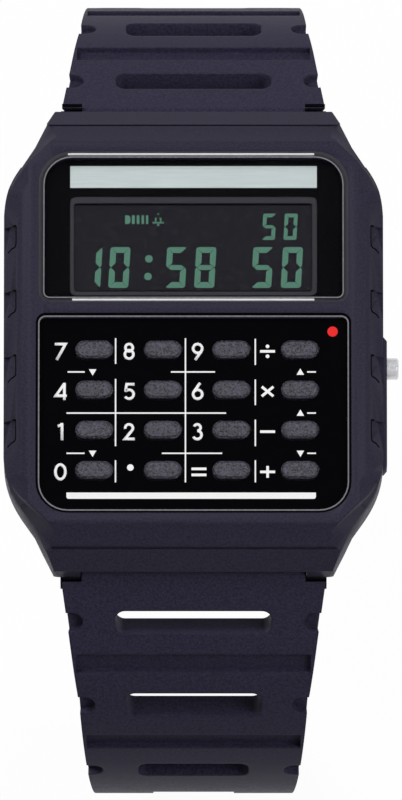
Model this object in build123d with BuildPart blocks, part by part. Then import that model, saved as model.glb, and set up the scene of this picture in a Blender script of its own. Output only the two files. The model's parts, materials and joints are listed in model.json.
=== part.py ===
from build123d import *
from math import cos, radians, sin
import os

# A resin calculator watch with its strap open, in millimetres.
# X points to 3 o'clock, Y to 12 o'clock and Z out of the face.
# The origin is the centre of the case back's outer face.

os.makedirs("parts", exist_ok=True)

# Clearances and cutting aids
slip_gap = 0.05  # round a pin that turns or slides
seat_gap = 0.10  # round a piece laid in its pocket
key_gap = 0.12  # round a key in its hole
overrun = 1.0  # how far a cut runs past what it cuts

# Case. Insets are measured inwards from the flank or from the case's end
case_width = 34.4
case_length = 43.2
case_height = 8.2
back_thickness = 0.6
knee_inset = 8.0  # where the straight flank turns towards the lug
knee_radius = 7.6
hip_side_inset = 2.8
hip_end_inset = 4.0
lug_tip_inset = 4.7
lug_tip_radius = 0.8
lug_cheek = 2.35  # from the strap's neck to the corner of the lug
flank_bevel_width = 1.7
flank_bevel_depth = 2.2
flank_foot_width = 1.6
flank_foot_height = 1.4
crease_inset = 4.0  # where the face folds down towards the strap
shelf_drop = 1.8
shelf_inset = 2.1
line_width = 0.2  # fine groove across the fold
line_depth = 0.15
lip_drop = 3.9
lip_inset = 0.25
chin_drop = 5.4
heel_inset = 0.4
heel_height = 0.6
sole_inset = 2.4

# Openings in the face, from the flat face down
window_side_wall = 3.55  # from the flank to the window
window_length = 13.2
window_centre_y = 9.76
window_top_radius = 2.6
window_foot_radius = 0.6
window_bevel = 0.4
window_recess = 0.25
window_thickness = 1.0
window_ledge = 0.7
seal_film = 0.15
keypad_side_wall = 3.2
keypad_length = 17.9
keypad_centre_y = -7.48
keypad_top_radius = 0.6
keypad_foot_radius = 2.6
keypad_bevel = 0.3
keypad_recess = 0.8
keypad_plate_thickness = 0.5
keypad_ledge = 0.8

# Case back, its gasket and screws, and the cavity inside it
back_side_inset = 2.4
back_end_gap = 0.2  # from the back to the strap's neck
back_corner = 1.6
cavity_side_wall = 3.5
cavity_end_wall = 1.4  # from the back's end to the cavity
cavity_corner = 3.6
gasket_inset = 0.30
gasket_width = 0.55
gasket_depth = 0.5
screw_side_inset = 2.1
screw_end_inset = 1.5
screw_head_radius = 1.0
screw_head_height = 0.32
screw_head_recess = 0.40
screw_shank_radius = 0.55
screw_reach = 2.4
screw_tip_gap = 0.5
screw_cross_width = 0.3
screw_cross_length = 1.3
screw_cross_depth = 0.18

# Display stack, from the pane down
mask_thickness = 0.2
strip_side_inset = 2.45  # from the window's side
strip_length = 2.03
strip_centre_y = 14.66
strip_thickness = 0.1
pane_edge = 0.08
lcd_side_inset = 1.55
lcd_length = 9.6
lcd_thickness = 1.6
lcd_centre_y = 8.8
lcd_view_centre_y = 8.1
lcd_view_inset = 1.25  # from the cell's side to the mask's opening
lcd_view_length = 8.0
backing_thickness = 0.2
zebra_width = 1.0
zebra_end_inset = 1.1
zebra_inset = 0.2

# Keys, their mat and the contact film. Margins run from the keypad opening to the outer keys' middles
key_top_margin = 2.98
key_foot_margin = 3.76
key_left_margin = 5.0
key_right_margin = 4.36
key_length = 3.4
key_width = 1.62
key_proud = 0.5
key_edge = 0.2
key_flange = 0.35
key_flange_thickness = 0.4
key_travel = 0.5
dome_gap = 0.05
dome_radius = 0.7
dome_sides = 6
dome_height = 0.15
mat_floor_thickness = 0.3
film_thickness = 0.1

# Module, from the case back up
frame_gap = 0.08
piezo_radius = 8.0
piezo_thickness = 0.25
piezo_y = 5.0
insulator_thickness = 0.1
insulator_hole_radius = 0.9
clamp_thickness = 0.2
clamp_width = 6.0
clamp_end_inset = 0.6
battery_side_wall = 2.2
battery_end_wall = 1.2
battery_thickness = 1.6
battery_y = -3.4
battery_edge = 0.3
board_side_inset = 1.5
board_end_inset = 1.4
board_thickness = 0.6
chip_size = 5.0
chip_height = 0.9
chip_x = -4.5
chip_y = -7.5
quartz_length = 6.0
quartz_radius = 0.6
quartz_side_inset = 4.9
quartz_y = -9.0
well_side_inset = 1.8
well_half_length = 4.6
well_roof = 0.8
wire_sides = 4
buzzer_wire = 0.12
buzzer_coil_radius = 0.45
buzzer_turns = 3
buzzer_y = 9.6
contact_leaf = 0.12
contact_width = 1.2
contact_foot = 1.4
contact_height = 1.3
stem_inner_reach = 1.05  # how far the pusher's stem stands in the cavity
clip_thickness = 0.25
clip_radius = 1.05
clip_slot_depth = 0.12

# Strap pivots in the lugs
pivot_inset = 2.0
pivot_z = 2.0
spring_bar_radius = 0.75
spring_bar_tip_radius = 0.45
spring_bar_grip = 1.3  # how far the bar's tips enter each lug
neck_side_gap = 0.1
neck_ceiling_drop = 4.1
neck_depth = 4.0

# Grip notches in the flank bevels, deep at the top and run out at the foot
grip_count = 4
grip_pitch = 6.0
grip_height = 2.1
grip_inset = 1.1
grip_floor = 6.1
grip_run = 3.3

# Pusher on the right flank
pusher_y = -2.57
pusher_z = 4.1
pusher_head_radius = 0.98
pusher_head_reach = 1.4  # how far the head stands past the flank
pusher_head_length = 1.65
pusher_stem_radius = 0.45
pusher_travel = 0.6
pusher_bore_depth = 1.6
pusher_seal_inset = 0.7
pusher_seal_width = 0.4
pusher_seal_wall = 0.35
pusher_edge = 0.15
pusher_wire = 0.14
pusher_coil_radius = 0.72
pusher_turns = 3
guard_reach = 0.35
guard_top_y = 0.0
guard_foot_y = -12.0
guard_low_z = 1.9
guard_high_z = 5.8
guard_chamfer = 0.3

# Strap halves, measured along their outer face from the lugs
strap_start_z = 3.4
strap_fall = 42  # degrees
strap_thickness = 2.8
strap_shoulder = 1.95  # how far the strap is wider than its neck on each side
tail_inset = 3.1  # how much narrower the tail is on each side
shoulder_gap = 0.4  # between the lug tips and the strap's shoulders
knuckle_radius = 1.7
root_run = 9.0
bend_radius = 25.4
taper_length = 23.34
upper_bend_end = 115  # degrees
upper_tail = 30.0
lower_bend_end = 104  # degrees
lower_tail = 76.0
tail_tip_flat = 2.0  # half the straight end between the tip's round corners
slot_places = (5.2, 14.35, 24.6)
slot_widths = (14.2, 12.4, 10.1)
slot_heights = (2.4, 2.9, 2.7)
slot_corner = 0.9
groove_places = (9.6, 19.35)
groove_width = 2.0
groove_depth = 0.6
groove_margin = 0.3
edge_pocket_reach = 1.45
edge_pocket_width = 2.0
edge_pocket_depth = 0.7
hole_radius = 1.1
hole_pitch = 6.0
hole_count = 9
hole_last = 12.0  # from the tail's tip
channel_width = 7.4
channel_depth = 0.3
channel_runout = 5.0  # how far its cut reaches back over the bend
channel_end = 6.0  # from the tail's tip
strap_taper_shares = ((0.22, 0.95), (0.61, 0.86), (1.0, 0.81), (1.3, 0.77))

# Buckle and keeper on the upper half
buckle_bar_radius = 0.7
end_knuckle_radius = 1.55
frame_thickness = 2.2
frame_reach = 11.4
frame_bar = 2.2
frame_arm = 2.0
frame_side_gap = 0.3
frame_heel = 1.6
frame_corner = 2.6
tang_width = 2.0
tang_side_gap = 0.25
tang_thickness = 0.75
tang_ring_radius = 1.25
tang_notch_depth = 0.6
tang_tip_inset = 0.4
tang_slot_length = 4.5
keeper_distance = 11.0  # past the bend
keeper_length = 5.0
keeper_wall = 1.2
keeper_gap = 0.3
keeper_corner = 1.0

# Places in the plan of the case
half_width = case_width / 2
half_length = case_length / 2
knee_y = half_length - knee_inset
hip_x = half_width - hip_side_inset
hip_y = half_length - hip_end_inset
lug_tip_x = half_width - lug_tip_inset
crease_y = half_length - crease_inset
shelf_y = half_length - shelf_inset
lip_y = half_length - lip_inset
heel_y = half_length - heel_inset
sole_y = half_length - sole_inset
pivot_y = half_length - pivot_inset
neck_inner_y = half_length - neck_depth
neck_half_width = lug_tip_x - lug_cheek
strap_half = neck_half_width + strap_shoulder
tail_half = strap_half - tail_inset
tail_tip_radius = tail_half - tail_tip_flat
back_half_width = half_width - back_side_inset
back_half_length = neck_inner_y - back_end_gap
screw_x = back_half_width - screw_side_inset
screw_y = back_half_length - screw_end_inset
cavity_half_width = half_width - cavity_side_wall
cavity_half_length = back_half_length - cavity_end_wall
board_half_width = cavity_half_width - board_side_inset
board_half_length = cavity_half_length - board_end_inset
battery_side_room = board_half_width - battery_side_wall
battery_end_room = board_half_length + battery_y - battery_end_wall
battery_radius = min(battery_side_room, battery_end_room)
clamp_half_length = board_half_width - clamp_end_inset
well_half_width = board_half_width - well_side_inset
quartz_x = well_half_width - quartz_side_inset
window_width = 2 * (half_width - window_side_wall)
keypad_width = 2 * (half_width - keypad_side_wall)
strip_width = window_width - 2 * strip_side_inset
lcd_width = window_width - 2 * lcd_side_inset
lcd_view_width = lcd_width - 2 * lcd_view_inset
zebra_length = lcd_width - 2 * zebra_end_inset

# Heights that several pieces share
face_z = case_height
window_top_z = face_z - window_recess
window_foot_z = window_top_z - window_thickness
mask_foot_z = window_foot_z - mask_thickness
window_ledge_z = mask_foot_z - seal_film
lcd_foot_z = mask_foot_z - lcd_thickness
plate_top_z = face_z - keypad_recess
plate_foot_z = plate_top_z - keypad_plate_thickness
key_foot_z = plate_foot_z - key_flange_thickness
mat_floor_z = key_foot_z - key_travel - dome_gap - dome_height
mat_foot_z = mat_floor_z - mat_floor_thickness
cavity_ceiling = mat_foot_z - film_thickness
insulator_z = back_thickness + piezo_thickness
module_z = insulator_z + insulator_thickness
battery_z = module_z + clamp_thickness
board_z = battery_z + battery_thickness
board_top_z = board_z + board_thickness
neck_ceiling_z = face_z - neck_ceiling_drop


def four_quadrants(corners):
    """Close an outline from its first quadrant, listed from the X axis round to the Y axis."""
    upper_left = [(-x, y) for x, y in reversed(corners)]
    lower_left = [(-x, -y) for x, y in corners]
    lower_right = [(x, -y) for x, y in reversed(corners)]
    return list(corners) + upper_left + lower_left + lower_right


def both_sides(corners):
    """Close an outline from its half at positive X, listed from the bottom up."""
    return list(corners) + [(-x, y) for x, y in reversed(corners)]


def cut_corner(half_x, half_y, corner):
    """Give a rectangle with its four corners cut off."""
    return four_quadrants([(half_x, half_y - corner), (half_x - corner, half_y)])


def save(piece, name):
    """Label a finished piece and write it to its own file."""
    piece.part.label = name
    export_step(piece.part, f"parts/{name}.step")


def opening_outline(width, length, centre_y, top_radius, foot_radius):
    """Draw a rectangle with its own corner radius at the top and at the foot."""
    with BuildSketch(Plane.XY) as outline:
        with Locations((0, centre_y)):
            Rectangle(width, length)
        fillet(outline.vertices().group_by(Axis.Y)[-1], top_radius)
        fillet(outline.vertices().group_by(Axis.Y)[0], foot_radius)
    return outline.sketch


grip_ys = [(row - (grip_count - 1) / 2) * grip_pitch for row in range(grip_count)]


def edge_bevel(near, far):
    """Make the wedge that bevels the face's edge along one straight run of the plan."""
    run = Vector(far[0] - near[0], far[1] - near[1])
    middle = ((near[0] + far[0]) / 2, (near[1] + far[1]) / 2, face_z)
    with BuildPart() as wedge:
        with BuildSketch(Plane(origin=middle, x_dir=(run.Y, -run.X, 0), z_dir=run)):
            Polygon(
                (-2 * flank_bevel_width, -flank_bevel_depth),
                (flank_bevel_width, 2 * flank_bevel_depth),
                (flank_bevel_width, -flank_bevel_depth),
                align=None,
            )
        extrude(amount=run.length, both=True)
        mirror(about=Plane.YZ)
        mirror(about=Plane.XZ)
    return wedge.part


knee = (half_width, knee_y)
hip = (hip_x, hip_y)
lug_tip = (lug_tip_x, half_length)
case_plan = four_quadrants([knee, hip, lug_tip])
case_cross_profile = both_sides([
    (half_width - flank_foot_width, back_thickness),
    (half_width, back_thickness + flank_foot_height),
    (half_width, face_z - flank_bevel_depth),
    (half_width - flank_bevel_width, face_z),
])
fold = Vector(lip_y - shelf_y, shelf_drop - lip_drop).normalized()
shelf_z = face_z - shelf_drop
case_long_profile = both_sides([
    (sole_y, back_thickness),
    (heel_y, back_thickness + heel_height),
    (half_length, face_z - chin_drop),
    (lip_y, face_z - lip_drop),
    (shelf_y + line_width * fold.X, shelf_z + line_width * fold.Y),
    (
        shelf_y + line_width * fold.X / 2 + line_depth * fold.Y,
        shelf_z + line_width * fold.Y / 2 - line_depth * fold.X,
    ),
    (shelf_y, shelf_z),
    (crease_y, face_z),
])

knee_bevel = edge_bevel(knee, hip)
hip_bevel = edge_bevel(hip, lug_tip)

with BuildPart() as case_body:
    with BuildSketch(Plane.XY.offset(back_thickness)) as plan:
        Polygon(*case_plan, align=None)
        ranks = plan.vertices().group_by(Axis.X)
        fillet(ranks[0] + ranks[-1], knee_radius)
        tips = plan.vertices().group_by(Axis.Y)
        fillet(tips[0] + tips[-1], lug_tip_radius)
    extrude(amount=face_z - back_thickness)
    with BuildSketch(Plane.XZ) as cross_profile:
        Polygon(*case_cross_profile, align=None)
    extrude(amount=case_length, both=True, mode=Mode.INTERSECT)
    with BuildSketch(Plane.YZ) as long_profile:
        Polygon(*case_long_profile, align=None)
    extrude(amount=case_width, both=True, mode=Mode.INTERSECT)
    add(knee_bevel, mode=Mode.SUBTRACT)
    add(hip_bevel, mode=Mode.SUBTRACT)

    # Guard round the pusher
    guard_length = guard_top_y - guard_foot_y
    guard_height = guard_high_z - guard_low_z
    guard_plane = Plane(
        origin=(half_width - guard_reach, (guard_top_y + guard_foot_y) / 2, (guard_high_z + guard_low_z) / 2),
        x_dir=(0, 1, 0),
        z_dir=(1, 0, 0),
    )
    with BuildSketch(guard_plane):
        Rectangle(guard_length, guard_height)
    extrude(amount=2 * guard_reach)
    guard_edges = case_body.faces().sort_by(Axis.X)[-1].edges()
    chamfer(guard_edges, guard_chamfer)

    # Cavity for the module, and the groove for its gasket
    with BuildSketch(Plane.XY.offset(back_thickness)):
        Polygon(*cut_corner(cavity_half_width, cavity_half_length, cavity_corner), align=None)
    extrude(amount=cavity_ceiling - back_thickness, mode=Mode.SUBTRACT)
    gasket_in = gasket_inset
    gasket_out = gasket_inset + gasket_width
    with BuildSketch(Plane.XY.offset(back_thickness)) as groove:
        Polygon(
            *cut_corner(cavity_half_width + gasket_out, cavity_half_length + gasket_out, cavity_corner),
            align=None,
        )
        Polygon(
            *cut_corner(cavity_half_width + gasket_in, cavity_half_length + gasket_in, cavity_corner),
            align=None,
            mode=Mode.SUBTRACT,
        )
    extrude(amount=gasket_depth, mode=Mode.SUBTRACT)

    # Window and keypad openings: a bevel, the pocket and the light opening below its ledge
    for width, length, centre_y, top_radius, foot_radius, bevel, top_z, ledge_z, ledge in (
        (
            window_width, window_length, window_centre_y, window_top_radius, window_foot_radius,
            window_bevel, window_top_z, window_ledge_z, window_ledge,
        ),
        (
            keypad_width, keypad_length, keypad_centre_y, keypad_top_radius, keypad_foot_radius,
            keypad_bevel, plate_top_z, plate_foot_z, keypad_ledge,
        ),
    ):
        pocket = opening_outline(width, length, centre_y, top_radius, foot_radius)
        rim = opening_outline(
            width + 2 * bevel, length + 2 * bevel, centre_y, top_radius + bevel, foot_radius + bevel
        )
        with BuildSketch(Plane.XY.offset(face_z)):
            add(rim)
        with BuildSketch(Plane.XY.offset(face_z - bevel)):
            add(pocket)
        loft(mode=Mode.SUBTRACT)
        with BuildSketch(Plane.XY.offset(ledge_z)):
            add(pocket)
        extrude(amount=face_z - ledge_z, mode=Mode.SUBTRACT)
        with BuildSketch(Plane.XY.offset(cavity_ceiling)):
            add(opening_outline(width - 2 * ledge, length - 2 * ledge, centre_y, top_radius, foot_radius))
        extrude(amount=ledge_z - cavity_ceiling, mode=Mode.SUBTRACT)

    # Necks for the strap, with blind holes for the spring bars in both cheeks
    for side in (1, -1):
        with BuildSketch(Plane.XY):
            with Locations((0, side * (neck_inner_y + (neck_depth + overrun) / 2))):
                Rectangle(2 * (neck_half_width + neck_side_gap), neck_depth + overrun)
        extrude(amount=neck_ceiling_z, mode=Mode.SUBTRACT)
        with BuildSketch(Plane.YZ):
            with Locations((side * pivot_y, pivot_z)):
                Circle(spring_bar_tip_radius)
        extrude(amount=neck_half_width + neck_side_gap + spring_bar_grip, both=True, mode=Mode.SUBTRACT)

    # Grip notches, each a wedge that is deepest at its top
    for side in (1, -1):
        with BuildSketch(Plane.YZ.offset(side * (half_width - grip_inset))):
            for grip_y in grip_ys:
                grip_top = grip_y + grip_height / 2
                Polygon((grip_top, grip_floor), (grip_top, face_z), (grip_top - grip_run, face_z), align=None)
        extrude(amount=side * (grip_inset + overrun), mode=Mode.SUBTRACT)

    # Pusher bores, the wide one from outside
    pusher_mouth = Plane(
        origin=(half_width + guard_reach, pusher_y, pusher_z), x_dir=(0, 1, 0), z_dir=(1, 0, 0)
    )
    with BuildSketch(pusher_mouth):
        Circle(pusher_head_radius + slip_gap)
    extrude(amount=-(guard_reach + pusher_bore_depth), mode=Mode.SUBTRACT)
    with BuildSketch(pusher_mouth):
        Circle(pusher_stem_radius + slip_gap)
    extrude(amount=-(half_width + guard_reach - cavity_half_width + overrun), mode=Mode.SUBTRACT)

    with BuildSketch(pusher_mouth.offset(-(half_width + guard_reach - cavity_half_width - pusher_seal_inset))):
        Circle(pusher_stem_radius + slip_gap + pusher_seal_wall)
    extrude(amount=pusher_seal_width, mode=Mode.SUBTRACT)

    # Screw holes from the back
    with BuildSketch(Plane.XY.offset(back_thickness)):
        with GridLocations(2 * screw_x, 2 * screw_y, 2, 2):
            Circle(screw_shank_radius)
    extrude(amount=screw_reach, mode=Mode.SUBTRACT)
save(case_body, "case_body")

# Case back with its four recessed screws
with BuildPart() as case_back:
    with BuildSketch(Plane.XY):
        Polygon(*cut_corner(back_half_width, back_half_length, back_corner), align=None)
    extrude(amount=back_thickness)
    with BuildSketch(Plane.XY):
        with GridLocations(2 * screw_x, 2 * screw_y, 2, 2):
            Circle(screw_head_radius + seat_gap)
    extrude(amount=screw_head_recess, mode=Mode.SUBTRACT)
    with BuildSketch(Plane.XY):
        with GridLocations(2 * screw_x, 2 * screw_y, 2, 2):
            Circle(screw_shank_radius + slip_gap)
    extrude(amount=back_thickness, mode=Mode.SUBTRACT)
save(case_back, "case_back")

with BuildPart() as case_back_screws:
    with BuildSketch(Plane.XY.offset(screw_head_recess - screw_head_height)):
        with GridLocations(2 * screw_x, 2 * screw_y, 2, 2):
            Circle(screw_head_radius)
    extrude(amount=screw_head_height)
    with BuildSketch(Plane.XY.offset(screw_head_recess)):
        with GridLocations(2 * screw_x, 2 * screw_y, 2, 2):
            Circle(screw_shank_radius)
    extrude(amount=back_thickness - screw_head_recess + screw_reach - screw_tip_gap)
    with BuildSketch(Plane.XY.offset(screw_head_recess - screw_head_height)):
        with GridLocations(2 * screw_x, 2 * screw_y, 2, 2):
            Rectangle(screw_cross_length, screw_cross_width)
            Rectangle(screw_cross_width, screw_cross_length)
    extrude(amount=screw_cross_depth, mode=Mode.SUBTRACT)
save(case_back_screws, "case_back_screws")

with BuildPart() as back_seal:
    with BuildSketch(Plane.XY.offset(back_thickness)):
        add(groove.sketch_local)
    extrude(amount=gasket_depth)
save(back_seal, "back_seal")

# Sounder disc stuck to the case back, with the film that keeps it off the battery
with BuildPart() as piezo_disc:
    with BuildSketch(Plane.XY.offset(back_thickness)):
        with Locations((0, piezo_y)):
            Circle(piezo_radius)
    extrude(amount=piezo_thickness)
save(piezo_disc, "piezo_disc")

with BuildPart() as insulator_sheet:
    with BuildSketch(Plane.XY.offset(insulator_z)):
        Polygon(*cut_corner(board_half_width, board_half_length, cavity_corner), align=None)
        with Locations((0, buzzer_y)):
            Circle(insulator_hole_radius, mode=Mode.SUBTRACT)
    extrude(amount=insulator_thickness)
save(insulator_sheet, "insulator_sheet")

# Coin cell in its holder, under a sheet metal clamp
with BuildPart() as battery:
    with BuildSketch(Plane.XY.offset(battery_z)):
        with Locations((0, battery_y)):
            Circle(battery_radius)
    extrude(amount=battery_thickness)
    chamfer(battery.faces().sort_by(Axis.Z)[0].edges(), battery_edge)
save(battery, "battery")

with BuildPart() as battery_clamp:
    with BuildSketch(Plane.XY.offset(module_z)):
        with Locations((0, battery_y)):
            Rectangle(2 * clamp_half_length, clamp_width)
    extrude(amount=clamp_thickness)
save(battery_clamp, "battery_clamp")

with BuildPart() as battery_holder:
    with BuildSketch(Plane.XY.offset(module_z)):
        Polygon(*cut_corner(board_half_width, board_half_length, cavity_corner), align=None)
        with Locations((0, battery_y)):
            Circle(battery_radius + seat_gap, mode=Mode.SUBTRACT)
        with Locations((0, buzzer_y)):
            Circle(insulator_hole_radius, mode=Mode.SUBTRACT)
    extrude(amount=board_z - module_z)
    with BuildSketch(Plane.XY.offset(module_z)):
        with Locations((0, battery_y)):
            Rectangle(2 * (clamp_half_length + seat_gap), clamp_width + 2 * seat_gap)
    extrude(amount=clamp_thickness, mode=Mode.SUBTRACT)
save(battery_holder, "battery_holder")

buzzer_rise = board_z - insulator_z
with BuildPart() as buzzer_spring:
    with BuildLine() as buzzer_path:
        Helix(
            pitch=(buzzer_rise - buzzer_wire) / buzzer_turns,
            height=buzzer_rise - buzzer_wire,
            radius=buzzer_coil_radius,
            center=(0, buzzer_y, insulator_z + buzzer_wire / 2),
        )
    with BuildSketch(Plane(origin=buzzer_path.line @ 0, z_dir=buzzer_path.line % 0)):
        RegularPolygon(buzzer_wire / 2, wire_sides)
    sweep(is_frenet=True)
save(buzzer_spring, "buzzer_spring")

# Circuit board with its chip, crystal can and pusher contact
with BuildPart() as circuit_board:
    with BuildSketch(Plane.XY.offset(board_z)):
        Polygon(*cut_corner(board_half_width, board_half_length, cavity_corner), align=None)
    extrude(amount=board_thickness)
save(circuit_board, "circuit_board")

with BuildPart() as processor_chip:
    with BuildSketch(Plane.XY.offset(board_top_z)):
        with Locations((chip_x, chip_y)):
            Rectangle(chip_size, chip_size)
    extrude(amount=chip_height)
save(processor_chip, "processor_chip")

with BuildPart() as quartz_can:
    can_end = Plane(origin=(quartz_x - quartz_length / 2, quartz_y, board_top_z + quartz_radius), z_dir=(1, 0, 0))
    with BuildSketch(can_end):
        Circle(quartz_radius)
    extrude(amount=quartz_length)
save(quartz_can, "quartz_can")

stem_end_x = cavity_half_width - stem_inner_reach
leaf_x = stem_end_x - pusher_travel - slip_gap
with BuildPart() as mode_contact:
    with BuildSketch(Plane.XY.offset(board_top_z)):
        with Locations((leaf_x - contact_foot / 2, pusher_y)):
            Rectangle(contact_foot, contact_width)
    extrude(amount=contact_leaf)
    with BuildSketch(Plane.XY.offset(board_top_z)):
        with Locations((leaf_x - contact_leaf / 2, pusher_y)):
            Rectangle(contact_leaf, contact_width)
    extrude(amount=contact_height)
save(mode_contact, "mode_contact")

# Frame that carries the board, the display and the keypad film
zebra_offset = lcd_length / 2 - zebra_inset - zebra_width / 2
backing_length = 2 * (zebra_offset - zebra_width / 2 - seat_gap)
with BuildPart() as module_frame:
    with BuildSketch(Plane.XY.offset(module_z)):
        Polygon(
            *cut_corner(cavity_half_width - frame_gap, cavity_half_length - frame_gap, cavity_corner),
            align=None,
        )
    extrude(amount=cavity_ceiling - module_z)
    with BuildSketch(Plane.XY.offset(module_z)):
        Polygon(
            *cut_corner(board_half_width + seat_gap, board_half_length + seat_gap, cavity_corner),
            align=None,
        )
    extrude(amount=board_top_z - module_z, mode=Mode.SUBTRACT)
    with BuildSketch(Plane.XY.offset(board_top_z)):
        with Locations((0, (chip_y + quartz_y) / 2)):
            Rectangle(2 * well_half_width, 2 * well_half_length)
    extrude(amount=cavity_ceiling - well_roof - board_top_z, mode=Mode.SUBTRACT)
    with BuildSketch(Plane.XY.offset(lcd_foot_z)):
        with Locations((0, lcd_centre_y)):
            Rectangle(lcd_width + 2 * seat_gap, lcd_length + 2 * seat_gap)
    extrude(amount=cavity_ceiling - lcd_foot_z, mode=Mode.SUBTRACT)
    with BuildSketch(Plane.XY.offset(lcd_foot_z - backing_thickness)):
        with Locations((0, lcd_centre_y)):
            Rectangle(zebra_length, backing_length)
    extrude(amount=backing_thickness, mode=Mode.SUBTRACT)
    with BuildSketch(Plane.XY.offset(board_top_z)):
        with Locations((0, lcd_centre_y - zebra_offset), (0, lcd_centre_y + zebra_offset)):
            Rectangle(zebra_length + 2 * seat_gap, zebra_width + 2 * seat_gap)
    extrude(amount=lcd_foot_z - board_top_z, mode=Mode.SUBTRACT)
    notch_inner_x = leaf_x - contact_foot - seat_gap
    notch_half_height = clip_radius + seat_gap
    notch_foot_z = min(board_top_z, pusher_z - notch_half_height)
    with BuildSketch(Plane.XY.offset(notch_foot_z)):
        with Locations(((notch_inner_x + cavity_half_width) / 2, pusher_y)):
            Rectangle(cavity_half_width - notch_inner_x, 2 * notch_half_height)
    extrude(amount=cavity_ceiling - notch_foot_z, mode=Mode.SUBTRACT)
save(module_frame, "module_frame")

for side, zebra_name in ((1, "zebra_strip_upper"), (-1, "zebra_strip_lower")):
    with BuildPart() as zebra_strip:
        with BuildSketch(Plane.XY.offset(board_top_z)):
            with Locations((0, lcd_centre_y + side * zebra_offset)):
                Rectangle(zebra_length, zebra_width)
        extrude(amount=lcd_foot_z - board_top_z)
    save(zebra_strip, zebra_name)

# Display: backing, cell, seal, mask with its strip, and the pane on top
with BuildPart() as lcd_backing:
    with BuildSketch(Plane.XY.offset(lcd_foot_z - backing_thickness)):
        with Locations((0, lcd_centre_y)):
            Rectangle(zebra_length - seat_gap, backing_length - seat_gap)
    extrude(amount=backing_thickness)
save(lcd_backing, "lcd_backing")

with BuildPart() as lcd_cell:
    with BuildSketch(Plane.XY.offset(lcd_foot_z)):
        with Locations((0, lcd_centre_y)):
            Rectangle(lcd_width, lcd_length)
    extrude(amount=lcd_thickness)
save(lcd_cell, "lcd_cell")

pane_outline = opening_outline(
    window_width - 2 * seat_gap, window_length - 2 * seat_gap,
    window_centre_y, window_top_radius - seat_gap, window_foot_radius - seat_gap,
)
with BuildPart() as window_seal:
    with BuildSketch(Plane.XY.offset(window_ledge_z)):
        add(pane_outline)
        add(
            opening_outline(
                window_width - 2 * window_ledge, window_length - 2 * window_ledge,
                window_centre_y, window_top_radius, window_foot_radius,
            ),
            mode=Mode.SUBTRACT,
        )
    extrude(amount=seal_film)
save(window_seal, "window_seal")

with BuildPart() as display_mask:
    with BuildSketch(Plane.XY.offset(mask_foot_z)):
        add(pane_outline)
        with Locations((0, lcd_view_centre_y)):
            Rectangle(lcd_view_width, lcd_view_length, mode=Mode.SUBTRACT)
    extrude(amount=mask_thickness)
    with BuildSketch(Plane.XY.offset(window_foot_z - strip_thickness)):
        with Locations((0, strip_centre_y)):
            Rectangle(strip_width, strip_length)
    extrude(amount=strip_thickness, mode=Mode.SUBTRACT)
save(display_mask, "display_mask")

with BuildPart() as header_strip:
    with BuildSketch(Plane.XY.offset(window_foot_z - strip_thickness)):
        with Locations((0, strip_centre_y)):
            Rectangle(strip_width, strip_length)
    extrude(amount=strip_thickness)
save(header_strip, "header_strip")

with BuildPart() as display_window:
    with BuildSketch(Plane.XY.offset(window_foot_z)):
        add(pane_outline)
    extrude(amount=window_thickness)
    chamfer(display_window.faces().sort_by(Axis.Z)[-1].edges(), pane_edge)
save(display_window, "display_window")

# Keypad: contact film, rubber mat, fascia and sixteen keys
key_rows = (
    ("key_7", "key_8", "key_9", "key_divide"),
    ("key_4", "key_5", "key_6", "key_times"),
    ("key_1", "key_2", "key_3", "key_minus"),
    ("key_0", "key_point", "key_equals", "key_plus"),
)
key_pitch_x = (keypad_width - key_left_margin - key_right_margin) / (len(key_rows[0]) - 1)
key_pitch_y = (keypad_length - key_top_margin - key_foot_margin) / (len(key_rows) - 1)
first_key_x = key_left_margin - keypad_width / 2
first_key_y = keypad_centre_y + keypad_length / 2 - key_top_margin
key_places = {}
for row, names in enumerate(key_rows):
    for column, name in enumerate(names):
        key_places[name] = (first_key_x + column * key_pitch_x, first_key_y - row * key_pitch_y)
all_keys = list(key_places.values())
mat_inset = keypad_ledge + seat_gap
mat_outline = opening_outline(
    keypad_width - 2 * mat_inset, keypad_length - 2 * mat_inset,
    keypad_centre_y, keypad_top_radius, keypad_foot_radius,
)

with BuildPart() as keypad_circuit:
    with BuildSketch(Plane.XY.offset(cavity_ceiling)):
        add(mat_outline)
    extrude(amount=film_thickness)
save(keypad_circuit, "keypad_circuit")

with BuildPart() as keypad_mat:
    with BuildSketch(Plane.XY.offset(mat_foot_z)):
        add(mat_outline)
    extrude(amount=plate_foot_z - mat_foot_z)
    well_margin = key_flange + seat_gap
    with BuildSketch(Plane.XY.offset(mat_floor_z)):
        with Locations(*all_keys):
            Rectangle(key_length + 2 * well_margin, key_width + 2 * well_margin)
    extrude(amount=plate_foot_z - mat_floor_z, mode=Mode.SUBTRACT)
    with BuildSketch(Plane.XY.offset(mat_floor_z)):
        with Locations(*all_keys):
            RegularPolygon(dome_radius, dome_sides)
    extrude(amount=dome_height)
save(keypad_mat, "keypad_mat")

with BuildPart() as keypad_plate:
    with BuildSketch(Plane.XY.offset(plate_foot_z)):
        add(opening_outline(
            keypad_width - 2 * seat_gap, keypad_length - 2 * seat_gap,
            keypad_centre_y, keypad_top_radius - seat_gap, keypad_foot_radius - seat_gap,
        ))
        with Locations(*all_keys):
            SlotOverall(key_length + 2 * key_gap, key_width + 2 * key_gap, mode=Mode.SUBTRACT)
    extrude(amount=keypad_plate_thickness)
save(keypad_plate, "keypad_plate")

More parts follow.
